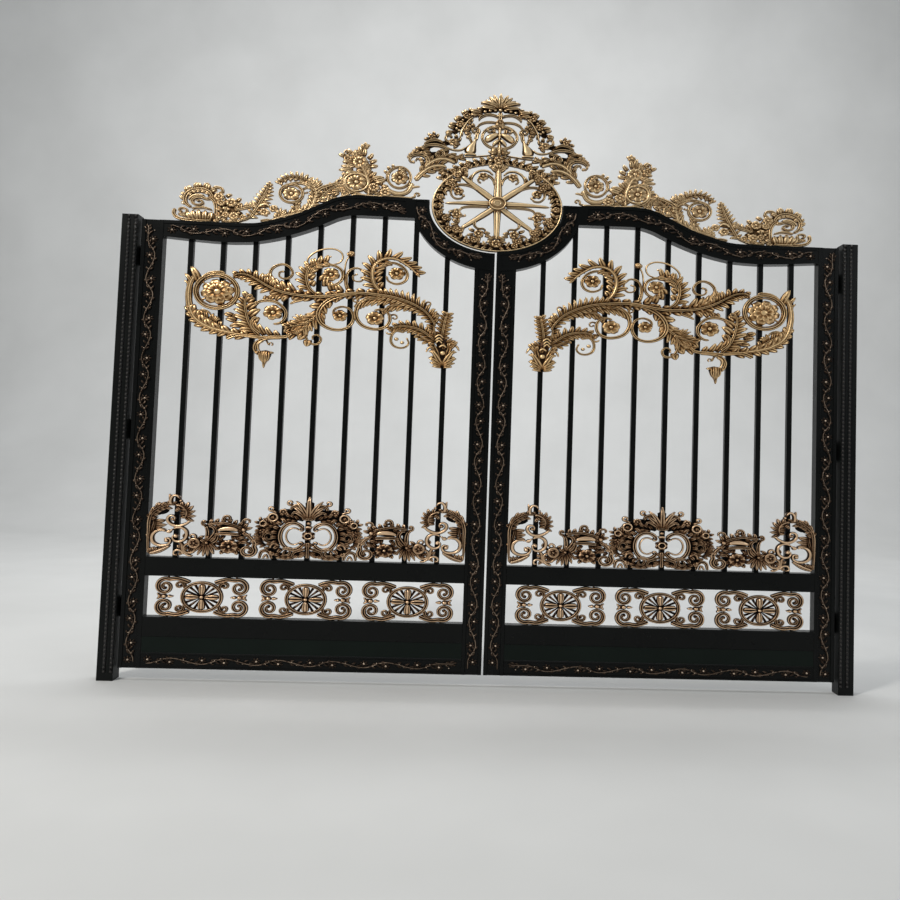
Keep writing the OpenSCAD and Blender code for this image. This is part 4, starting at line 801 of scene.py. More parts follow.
    # leaf strands that climb to the cushion
    o.stem([(-1398, 690), (-1392, 725), (-1396, 752), (-1404, 766)], [9, 10, 9, 6], 9, 4)
    o.curl((-1411, 784), 15, 14, 280, 0, (7, 5), 7, 3, 7, lead=[(-1400, 758)])
    o.stem([(-1386, 694), (-1366, 716), (-1352, 742), (-1366, 764), (-1392, 768)], [8, 10, 10, 8, 5], 9, 6, "double")
    o.stem([(-1372, 684), (-1350, 700), (-1342, 726)], [8, 10, 8], 9, 6, "double")
    # cushion: a broad smooth leaf over the second flower
    o.stem([(-1344, 744), (-1322, 753), (-1291, 757), (-1260, 755), (-1240, 746)], [8, 14, 17, 15, 8], 11, 6, "round", taper=(4, 4), tone=1.0)
    o.back([(-1380, 752), (-1340, 758), (-1290, 762), (-1236, 756)], [16, 22, 24, 20])
    o.stem([(-1362, 726), (-1322, 731), (-1280, 731), (-1232, 728)], [6, 9, 9, 7], 9, 8, "double")
    o.lobes([(-1366, 750, 40, 30), (-1352, 764, 20, 20), (-1226, 738, 140, -30), (-1222, 752, 160, -20)], 34, 9.5, lift=6)
    o.stem([(-1398, 776), (-1350, 780), (-1312, 784), (-1270, 776), (-1222, 764)], [5, 7, 7, 7, 5], 9, 6, "double")
    o.lobes([(-1376, 776, 96, -20), (-1352, 780, 84, -20), (-1262, 776, 80, -20), (-1240, 770, 62, -20), (-1312, 722, 236, 10), (-1256, 722, 300, -14), (-1266, 724, 276, -8)], 34, 10.5, bend=-24)
    o.curl((-1298, 806), 19, 16, 210, -130, (8, 5), 8, 4, 8, inner=0.4, lead=[(-1326, 780)])
    o.lobes([(-1312, 784, 116), (-1290, 784, 62)], 30, 9)
    o.bead((-1216, 752), 16, 12, 6, tone=1.1)
    o.lobes([(-1222, 756, 150), (-1214, 764, 60), (-1206, 756, 20), (-1216, 742, 300), (-1230, 738, 250)], [30, 34, 34, 34, 34], 10)
    o.curl((-1200, 794), 22, 15, 220, -20, (7, 5), 7, 3, 7, inner=0.5, lead=[(-1218, 760)])
    # second flower
    o.back([(-1330, 668), (-1284, 668), (-1236, 668)], 34)
    o.rosette((-1284, 668), 46, 6, boss=12, h=11, lift=6, turn=12)
    o.lobes([(-1318, 690, 128, 30), (-1322, 678, 160, 30), (-1322, 662, 196, 30), (-1310, 648, 226, 30), (-1256, 648, 306, -30), (-1246, 660, 336, -30), (-1244, 684, 34, 30)], [34, 38, 36, 30, 30, 34, 34], 11)
    o.lobes([(-1246, 706, 30, -30), (-1230, 690, 10, -30)], [44, 40], 10.5, lift=6)
    # last curl before the crest
    o.curl((-1192, 650), 40, 31, 40, -400, (10, 7), 9, 5, 11, inner=0.3, kind="double", lead=[(-1168, 704), (-1158, 686)])
    o.stem([(-1222, 742), (-1196, 726), (-1172, 704), (-1168, 690)], [8, 9, 9, 6], 8, 4, "leaf")
    o.lobes([(-1206, 722, 30), (-1190, 706, 200), (-1180, 690, 230)], 30, 9)
    return o


# ---------------------------------------------------------------- castings of the pierced band
def band_casting():
    o = Shape()
    # wheel: a ring, four broad petals and three slim ribs in each quarter
    o.oval((0, 0), 96, 71, 9.5, 9, 4, "double", n=56)
    for i in range(4):
        x, z = ((1, 0), (0, 1), (-1, 0), (0, -1))[i]
        o.stem([(8 * x, 6 * z), (45 * x, 34 * z), (88 * x, 66 * z)], [6, 13, 17, 17, 14], 9, 5, "double" if i % 2 == 0 else "triple", step=14, taper=(2, 5), tone=1.2)
        for k in (25, 45, 65):
            a = math.radians(i * 90 + k)
            c, d = math.cos(a), math.sin(a) * Q
            o.stem([(14 * c, 14 * d), (92 * c, 92 * d)], [2.6, 5.2, 7.2], 6, 0, "round", step=18, taper=(0, 0), tone=0.5)
    o.bead((0, 0), 18, 9, 5, tone=0.2)
    o.bead((0, 0), 12, 12, 10, tone=1.3)
    for sx in (1, -1):
        for sz in (1, -1):
            q = Shape()
            # outer scroll that starts on the shoulder of the wheel, and the inner scroll under it
            q.curl((182, 48), 47, 42, 118, -430, (12.5, 7.5), 9, 3, 11, inner=0.2, n=44, power=0.9, lead=[(60, 70), (92, 82), (126, 89)])
            q.curl((110, 56), 24, 19, -160, -540, (8.5, 6), 8, 4, 9, inner=0.3, n=26, lead=[(72, 34), (80, 44)])
            q.stem([(222, 16), (208, 6), (184, 6)], [5, 7, 5], 7, 1, "round", step=7)
            q.bead((76, 68), 8, 8, 5, tone=1.1)
            o.join(q, flip=sx < 0) if sz > 0 else join_down(o, q, sx < 0)
    for sx in (1, -1):
        o.bead((sx * 186, 0), 15, 12, 6, tone=1.15)
        o.bead((sx * 161, 0), 11, 10, 5, tone=1.1)
        o.bead((sx * 209, 0), 9, 9, 4, tone=1.1)
        o.stem([(sx * 140, 0), (sx * 150, 0), (sx * 162, 0)], [4, 7, 9], 8, 3, "round", step=6, tone=0.9)
    return o


def join_down(o, q, flip):
    """Adds q turned over in z, and in x as well when flip is set."""
    v, f, t = q.arrays()
    v = v.copy()
    v[:, 1] *= -1
    f = f[:, ::-1]
    if flip:
        v[:, 0] *= -1
        f = f[:, ::-1]
    v[:, 1] /= o.q
    o.v.append(v)
    o.f.append(f + o.n)
    o.t.append(t)
    o.n += len(v)


def band_castings():
    o = Shape()
    c = band_casting()
    for x in (-1413, -898, -388):
        o.join(c, dx=x, dz=411)
        # short pins that hold the casting between the rails
        for z0, z1 in ((499, 516), (306, 324)):
            for dx in (-168, 168):
                o.stem([(x + dx, z0), (x + dx, z1)], [5, 5], 5, 0, "round", taper=(0, 0))
    return o


# ---------------------------------------------------------------- castings on the top rail
def crown_end():
    o = Shape()
    # web behind the bunches
    o.back([(-1480, 2466), (-1458, 2446), (-1436, 2420)], [14, 22, 20])
    o.back([(-1560, 2346), (-1500, 2344), (-1440, 2340)], [22, 26, 22])
    o.back([(-1440, 2360), (-1410, 2380), (-1380, 2380), (-1350, 2362), (-1300, 2350)], [20, 34, 34, 30, 16])
    # curled foot by the hinge stile
    o.curl((-1610, 2364), 32, 21, 240, 600, (8, 5), 9, 4, 8, inner=0.34, kind="double", lead=[(-1560, 2334), (-1596, 2336)])
    o.stem([(-1646, 2374), (-1652, 2348), (-1632, 2326), (-1590, 2317), (-1540, 2314), (-1480, 2313)], [7, 9, 11, 10, 9], 9, 5, "double")
    # swelling leaf base
    o.lobes([(-1556, 2322, 134, -44), (-1540, 2320, 116, -30), (-1520, 2318, 100, -12), (-1496, 2318, 82, 12), (-1474, 2320, 62, 34)], [54, 64, 70, 66, 56], 14.5, lift=6, h=9)
    o.stem([(-1562, 2318), (-1510, 2312), (-1456, 2316)], [6, 8, 6], 9, 8, "double")
    o.stem([(-1560, 2374), (-1530, 2382), (-1496, 2382), (-1458, 2372)], [5, 7, 7, 5], 9, 9, "double", step=7)
    # C scroll with curled lobes on its back
    o.stem([(-1566, 2382), (-1590, 2400), (-1598, 2428), (-1584, 2456), (-1552, 2474), (-1510, 2478), (-1476, 2464), (-1458, 2436)], [8, 10, 11, 11, 10, 9, 8], 9, 5, "double", step=7)
    o.lobes([(-1592, 2404, 186), (-1600, 2424, 150), (-1594, 2446, 160), (-1586, 2460, 118), (-1566, 2472, 132), (-1548, 2482, 92), (-1524, 2486, 112), (-1504, 2486, 70), (-1486, 2478, 88),
             (-1470, 2466, 44)], [24, 32, 30, 38, 34, 40, 34, 40, 36, 34], 12, bend=-34, lift=6)
    o.lobes([(-1580, 2440, 60), (-1566, 2456, 40), (-1546, 2464, 20), (-1522, 2466, 0), (-1498, 2462, -24)], [26, 28, 30, 30, 28], 9.5, bend=-30, lift=7)
    o.curl((-1528, 2412), 44, 27, 40, 470, (9, 5), 9, 6, 9, inner=0.26, lead=[(-1470, 2430)])
    o.stem([(-1580, 2420), (-1560, 2440), (-1530, 2448), (-1500, 2444)], [5, 7, 5], 8, 7, "round", step=7)
    # flow down to the rail
    o.acanthus([(-1486, 2440), (-1456, 2424), (-1441, 2392), (-1440, 2352), (-1448, 2322)], [13, 15, 15, 11], [20, 26, 24], 7, 1, (56, 44), 20, (0.05, 0.95), tip=False)
    o.stem([(-1470, 2474), (-1448, 2490), (-1420, 2488), (-1410, 2470), (-1426, 2462)], [7, 9, 8, 6], 8, 5, step=6, eye=7)
    # flowers and beads
    o.rosette((-1426, 2442), 28, 5, boss=9, h=8, lift=6)
    o.rosette((-1414, 2410), 21, 5, boss=7, h=8, lift=7, turn=30)
    o.rosette((-1362, 2414), 29, 5, boss=9, h=8, lift=6, turn=20)
    o.rosette((-1346, 2344), 27, 5, boss=9, h=8, lift=6)
    o.rosette((-1388, 2350), 20, 5, boss=7, h=8, lift=6, turn=40)
    o.rosette((-1300, 2340), 19, 5, boss=7, h=8, lift=5, turn=10)
    for x, z, r in ((-1398, 2384, 11), (-1412, 2364, 9), (-1376, 2380, 9), (-1420, 2334, 9), (-1324, 2362, 9), (-1396, 2430, 8)):
        o.bead((x, z), r, 9, 8, tone=1.05)
    o.lobes([(-1436, 2324, 60), (-1410, 2318, 40), (-1376, 2316, 30), (-1336, 2318, 20), (-1390, 2402, 100), (-1340, 2400, 40), (-1336, 2420, 60), (-1392, 2444, 40)], 34, 10, bend=-16)
    o.stem([(-1444, 2316), (-1412, 2332), (-1390, 2366), (-1384, 2396)], [9, 10, 9, 6], 8, 3)
    o.stem([(-1412, 2314), (-1370, 2316), (-1326, 2322), (-1284, 2334), (-1262, 2350)], [7, 8, 8, 6], 8, 4)
    # tall leaf that folds over at the top
    o.acanthus([(-1346, 2374), (-1314, 2384), (-1282, 2392), (-1252, 2402)], [10, 13, 11], [26, 30, 26], 7, 1, (54, 40), 22, (0.05, 0.9))
    o.bead((-1288, 2408), 10, 9, 7)
    o.acanthus([(-1268, 2336), (-1250, 2366), (-1230, 2398), (-1210, 2434), (-1192, 2470), (-1180, 2506), (-1174, 2528)], [12, 13, 12, 9, 5], [22, 30, 34, 32, 24, 14], 13, 0, (66, 40), 30, (0.05, 0.93), lw=10.2)
    o.stem([(-1222, 2396), (-1206, 2410), (-1184, 2412), (-1168, 2400)], [6, 8, 5], 7, 7, "round", step=5)
    o.rosette((-1193, 2372), 26, 5, boss=8, h=8, lift=6)
    return o


def crown_scrolls():
    o = Shape()
    # right-hand half of the tall leaf, and the flowers by it
    o.rosette((-1148, 2394), 24, 6, boss=8, h=7)
    o.bead((-1137, 2354), 14, 10, 3)
    o.fan((-1120, 2358), [150, 110, 80, 52, 30], [30, 44, 56, 58, 50], 8, 3)
    o.stem([(-1215, 2326), (-1180, 2332), (-1140, 2330), (-1100, 2342)], [9, 10, 9, 8], 8, 1)
    # rising trunk, forking at the top
    o.acanthus([(-1160, 2330), (-1110, 2350), (-1055, 2366), (-1005, 2380), (-966, 2400), (-946, 2432), (-938, 2470), (-936, 2504)], [13, 15, 16, 16, 15, 14, 12], [26, 32, 36, 36, 32], 12, 1,
               (56, 40), 20, (0.1, 0.85), tip=False, kind="triple")
    p = o.p([(-1055, 2366), (-1005, 2380), (-966, 2400), (-946, 2432), (-938, 2470)])
    o.leaves(p, -1, 8, [26, 34, 34, 26], None, (54, 40), 20, (0.1, 0.95), 1)
    o.stem([(-936, 2490), (-950, 2508), (-980, 2524), (-1014, 2536)], [12, 12, 8], 9, 3)
    o.stem([(-936, 2490), (-915, 2508), (-885, 2522), (-850, 2534), (-820, 2548)], [12, 12, 10, 7], 9, 3)
    o.fan((-948, 2512), [138, 116, 96, 76, 56, 38], [66, 74, 72, 70, 62, 54], 10, 4)
    o.stem([(-952, 2500), (-978, 2512), (-1004, 2500), (-998, 2482), (-982, 2486)], [6, 7, 5, 4], 7, 3, step=5, eye=6)
    o.acanthus([(-1020, 2376), (-1032, 2396), (-1034, 2420)], [8, 9, 6], [22, 24], 4, 0, (48, 34), 20, (0.1, 0.9))
    o.curl((-960, 2448), 20, 15, -60, 240, 5, 7, 4, 6, lead=[(-946, 2420)])
    # left scroll with its flower, arc leaf and knobs
    o.oval((-1062, 2476), 58, 47, 8, 9, 3, "double", n=44)
    o.rosette((-1062, 2476), 46, 5, boss=12, h=8, turn=90)
    p = o.p([(-944, 2450), (-952, 2496), (-974, 2530), (-1010, 2552), (-1052, 2560), (-1094, 2550), (-1122, 2528)])
    o.strip(p, [12, 13, 13, 11, 7], 10, 4, "double", taper=(6, 8))
    o.leaves(p, -1, 19, [22, 28, 30, 28, 20], 9, (66, 44), 40, (0.06, 0.98), 4, h=8)
    o.leaves(p, 1, 11, [16, 18, 18, 14], 8, (58, 46), 26, (0.15, 0.98), 4)
    o.stem([(-1096, 2500), (-1080, 2520), (-1044, 2531), (-1002, 2530), (-962, 2510)], [6, 8, 9, 9], 8, 4, "double")
    # short hooks and ball right of the trunk
    o.acanthus([(-922, 2440), (-900, 2470), (-872, 2498), (-838, 2522), (-800, 2538)], [9, 10, 9, 6], [26, 30, 30, 24], 8, 0, (62, 46), 22, (0.06, 0.96))
    o.bead((-897, 2458), 15, 11, 4)
    o.stem([(-930, 2450), (-918, 2484), (-892, 2494), (-872, 2474), (-876, 2446), (-896, 2432)], [5, 6, 6, 5], 7, 1, "round", step=6)
    o.oval((-812, 2545), 22, 16, 5, 8, 3, "round", n=24)
    o.bead((-812, 2545), 10, 8, 4)
    # small things that stand on the rail between the trunks
    o.acanthus([(-915, 2408), (-880, 2428), (-858, 2458), (-848, 2482)], [8, 10, 8], [26, 30, 24], 6, -1, (54, 40), 20, (0.1, 0.95))
    o.stem([(-900, 2412), (-860, 2436), (-815, 2462), (-780, 2486), (-752, 2508)], [8, 9, 9, 8], 8, 1)
    o.acanthus([(-850, 2532), (-812, 2520), (-790, 2500), (-786, 2480)], [7, 8, 6], [22, 24, 20], 5, 0, (50, 40), 20, (0.1, 0.9))
    o.lobes([(-752, 2612, 176, 10), (-760, 2624, 160, 20), (-744, 2602, 192, -10)], [74, 56, 52], 11.5, lift=5)
    o.back([(-700, 2620), (-724, 2652), (-754, 2680)], [26, 36, 26])
    o.lobes([(-700, 2690, 74), (-716, 2700, 92), (-676, 2676, 48), (-668, 2656, 22), (-664, 2636, 4), (-756, 2640, 196), (-770, 2656, 176), (-800, 2684, 150), (-764, 2700, 118), (-744, 2640, 210)],
            [52, 50, 44, 42, 40, 40, 38, 32, 36, 40], 11.5, bend=24, lift=5)
    # trunk that carries the tuft
    o.acanthus([(-668, 2484), (-668, 2520), (-672, 2560), (-688, 2600), (-706, 2632), (-724, 2668), (-742, 2700)], [13, 14, 14, 13, 12, 9], [26, 32, 34, 34, 30], 12, 0, (50, 34), 18, (0.08, 0.95),
               kind="triple")
    # middle flower in its ring
    o.stem([(-700, 2486), (-740, 2494), (-775, 2512), (-792, 2545), (-786, 2580), (-762, 2600), (-728, 2602)], [8, 10, 11, 10, 8], 9, 2)
    o.oval((-731, 2550), 60, 46, 6.5, 8, 4, "round", n=40)
    o.rosette((-732, 2551), 55, 7, boss=14, h=9, turn=10)
    o.stem([(-788, 2580), (-764, 2598), (-732, 2600), (-706, 2588)], [6, 8, 8, 5], 8, 5)
    p = o.p([(-740, 2494), (-776, 2512), (-794, 2545), (-786, 2582)])
    o.leaves(p, 1, 7, [20, 24, 22], None, (54, 44), 20, (0.1, 0.95), 1)
    # tuft with the large flower
    o.rosette((-716, 2656), 42, 6, boss=14, h=9, lift=4)
    o.rosette((-780, 2672), 24, 6, boss=7, h=7, lift=2)
    o.oval((-786, 2704), 15, 12, 4, 7, 3, "round", n=20)
    o.bead((-786, 2704), 7, 7, 3)
    o.fan((-752, 2664), [196, 216, 236], [44, 46, 42], 9, 1)
    o.fan((-740, 2682), [76, 96, 118, 142], [52, 54, 46, 40], 8, 1)
    o.stem([(-752, 2680), (-744, 2700), (-724, 2706), (-708, 2696), (-718, 2686)], [6, 7, 6, 4], 7, 4, step=5, eye=6)
    o.acanthus([(-728, 2690), (-718, 2712), (-704, 2732), (-690, 2747)], [9, 10, 7], [22, 24, 18], 5, 0, (40, 28), 14, (0.1, 0.9))
    o.fan((-706, 2640), [10, -12, -34, -56], [52, 54, 52, 46], 8, 2)
    o.fan((-690, 2600), [20, 44, 66], [44, 46, 40], 8, 1)
    o.rosette((-640, 2526), 30, 6, boss=9, h=8, lift=6)
    o.finger((-652, 2566), 38, 66, 12, -50, 10, 4, 5)
    o.finger((-640, 2552), 12, 66, 14, 30, 10, 5, 5)
    o.lobes([(-656, 2580, 60, -10), (-650, 2560, 20, 30), (-612, 2540, 70, -20), (-600, 2530, 30, -30)], [44, 40, 34, 34], 10.5, lift=5)
    o.stem([(-660, 2490), (-640, 2500), (-618, 2494), (-600, 2480)], [7, 8, 8, 7], 8, 2)
    # third scroll against the cradle
    o.rosette((-580, 2502), 31, 6, boss=10, h=8, lift=6)
    o.stem([(-640, 2484), (-606, 2508), (-588, 2548)], [8, 9, 7], 8, 1)
    o.stem([(-578, 2530), (-560, 2512), (-528, 2500), (-496, 2500), (-470, 2512), (-454, 2534), (-445, 2560)], [9, 13, 15, 15, 14, 13, 12], 9, 4, "triple", taper=(6, 2))
    o.oval((-513, 2585), 59, 55, 7, 9, 4, "double", n=48)
    o.rosette((-510, 2584), 46, 7, boss=11, h=9, lift=2)
    o.strip(o.p([(-576, 2560), (-574, 2600), (-552, 2628), (-520, 2640), (-500, 2641)]), [7, 8, 8, 7, 5], 8, 2, "double", taper=(6, 6))
    o.lobes([(-474, 2610, 214, 20), (-480, 2622, 200, 26), (-492, 2630, 190, 30)], [32, 36, 32], 9.5, lift=8)
    o.lobes([(-574, 2606, 150, -30), (-562, 2624, 130, -30), (-544, 2636, 112, -30)], [26, 26, 22], 9)
    o.curl((-414, 2498), 17, 13, 200, -80, 5, 7, 2, 6, lead=[(-452, 2482), (-432, 2486)])
    o.stem([(-446, 2534), (-428, 2541), (-404, 2543)], [6, 7, 4], 7, 2, "round", step=6)
    o.stem([(-620, 2480), (-560, 2484), (-500, 2482), (-440, 2480)], [7, 8, 8, 7], 8, 1, "round")
    o.stem([(-760, 2478), (-720, 2486), (-660, 2482), (-610, 2482)], [7, 8, 8, 7], 8, 1, "round")
    return o


# ---------------------------------------------------------------- wheel in the cradle
def medallion():
    o = Shape()
    C = (0, 2449)
    at = lambda t, a, b: (a * math.cos(math.radians(t)), C[1] + b * math.sin(math.radians(t)))
    # rim: a plain outer line on a dark web
    o.oval(C, 335, 229, 5.5, 8, 4, "round", n=90, span=(132, 408))
    o.oval(C, 335, 229, 4.2, 6, 2, "round", n=34, span=(46, 134), tone=0.35)
    o.oval(C, 308, 210, 20, 1.6, 0, "flat", n=84, tone=0.0, span=(138, 402))
    # running leaves and knobs between the lines, with flowers among them
    for half in (0, 1):
        for k, (a0, a1, m) in enumerate(((-88, -2, 18), (2, 56, 12))):
            q = np.radians(np.linspace(a0, a1, 60) if half == 0 else np.linspace(180 - a0, 180 - a1, 60))
            s = np.c_[308 * np.cos(q), (C[1] + 208 * np.sin(q)) / o.q]
            if k == 1:
                s = s[::-1]
            o.leaves(s, 1, m, 24, 9, (56, 46), 24, (0.02, 0.98), 3)
            o.leaves(s, -1, m, 24, 9, (56, 46), 24, (0.02, 0.98), 3)
    for i, a in enumerate(range(-84, 264, 12)):
        if 52 < a < 128:
            continue
        if i % 2:
            o.rosette(at(a, 307, 208), 19, 5, boss=6.5, h=8, lift=5, turn=a)
        else:
            o.bead(at(a, 318, 217), 8, 8, 6, tone=1.15)
            o.bead(at(a + 4, 296, 201), 7, 8, 6, tone=1.1)
    for a in (-66, -42, -20, 200, 222, 246, 34, 146):
        o.rosette(at(a, 284, 192), 20, 5, boss=7, h=8, lift=6, turn=a + 20)
        o.lobes([(*at(a - 5, 284, 192), a + 150), (*at(a + 5, 284, 192), a + 210)], 32, 9.5)
    # smooth spokes that narrow outwards
    o.stem([(0, 2494), (0, 2560), (0, 2618), (0, 2652)], [21, 19, 16, 14], 8, 4, "triple", step=20, taper=(0, 0))
    o.lobes([(-6, 2640, 150, -30), (6, 2640, 30, 30), (-8, 2650, 118, -20), (8, 2650, 62, 20), (0, 2650, 90, 0), (-20, 2658, 160, 0), (20, 2658, 20, 0)], [44, 44, 42, 42, 36, 34, 34], 12, lift=6)
    o.stem([(0, 2436), (0, 2400), (0, 2330), (0, 2282)], [19, 16, 14, 13], 8, 4, "triple", step=20, taper=(0, 0))
    o.rosette((0, 2258), 27, 5, boss=9, h=9, lift=6, turn=90)
    o.lobes([(-8, 2296, 220, -30), (8, 2296, 320, 30), (-12, 2276, 200, 0), (12, 2276, 340, 0)], 44, 10, lift=5)
    for sx in (1, -1):
        o.stem([(sx * 40, 2468), (sx * 120, 2468), (sx * 200, 2466), (sx * 272, 2462)], [18, 15, 10, 6], 8, 5, "round", step=20, taper=(0, 4))
        m = Shape()
        # upper diagonal, smooth, with a scroll on each side
        m.stem([(6, 2472), (40, 2500), (82, 2530), (126, 2560), (166, 2590), (192, 2606)], [17, 18, 18, 16, 14, 10], 9, 4, "round", step=14, taper=(0, 6))
        m.stem([(100, 2536), (136, 2554), (176, 2563), (214, 2558), (240, 2538), (242, 2510), (222, 2490), (192, 2490), (178, 2504)], [7, 8, 8, 7, 7, 6, 5, 4], 8, 4, "double", step=7)
        m.bead((178, 2506), 9, 9, 5, tone=1.1)
        m.rosette((204, 2526), 27, 5, boss=9, h=8, lift=5, turn=20)
        m.stem([(18, 2566), (24, 2592), (44, 2612), (72, 2618), (98, 2606), (104, 2586), (88, 2576)], [6, 8, 8, 7, 6, 4], 8, 4, "double", step=6)
        m.rosette((78, 2610), 26, 5, boss=9, h=8, lift=6, turn=50)
        m.stem([(136, 2568), (138, 2598), (122, 2626), (90, 2642), (54, 2640), (26, 2620)], [4, 6, 7, 7, 6, 4], 7, 2, "round", step=7)
        m.lobes([(150, 2590, 120), (170, 2604, 100), (190, 2606, 70), (200, 2600, 30), (196, 2588, -10), (222, 2566, 60), (240, 2556, 20), (246, 2540, -20)], 40, 10.5, bend=-20, lift=5)
        m.rosette((214, 2612), 21, 5, boss=7, h=8, lift=6)
        m.rosette((176, 2640), 19, 5, boss=6.5, h=8, lift=5)
        m.rosette((252, 2572), 19, 5, boss=6.5, h=8, lift=5)
        # lower diagonal
        m.stem([(6, 2456), (40, 2430), (80, 2402), (124, 2372), (164, 2346), (186, 2330)], [16, 17, 17, 15, 13, 10], 9, 4, "round", step=14, taper=(0, 6))
        m.stem([(46, 2449), (100, 2450), (150, 2448), (184, 2440), (198, 2420), (190, 2400), (168, 2398)], [5, 6, 7, 7, 6, 5, 4], 8, 4, "double", step=7)
        m.bead((168, 2402), 8, 8, 5, tone=1.1)
        m.rosette((208, 2402), 28, 5, boss=9, h=8, lift=5, turn=40)
        m.lobes([(196, 2424, 20, -30), (220, 2420, 0, -20), (236, 2404, -30, 0), (206, 2384, 250, 20)], 34, 10, lift=4)
        m.stem([(92, 2396), (112, 2376), (116, 2352), (98, 2336), (72, 2336), (56, 2326)], [6, 8, 7, 6, 5], 8, 4, "double", step=6)
        m.rosette((92, 2308), 27, 5, boss=9, h=8, lift=6, turn=10)
        m.lobes([(66, 2318, 200, -20), (60, 2300, 190, 10), (116, 2322, 20, 20), (120, 2304, -10, 0), (92, 2290, 268, 0)], 34, 10, lift=4)
        m.lobes([(176, 2340, -80), (186, 2338, -50), (194, 2342, -22), (200, 2350, 6), (200, 2362, 34)], 40, 10.5, lift=5)
        m.rosette((190, 2322), 20, 5, boss=7, h=8, lift=7)
        o.join(m, flip=sx > 0)
    return o


def medallion_hub():
    """A low oval cap with a raised rim and a small boss."""
    o = Shape()
    o.bead((0, 2465), 46, 8, 8, k=36, tone=1.1)
    o.oval((0, 2465), 41, 31, 5, 8, 5, "round", n=52)
    o.oval((0, 2465), 17, 13, 3.6, 8, 5, "round", n=32)
    o.bead((0, 2465), 7, 6, 7, k=16, tone=1.15)
    return o


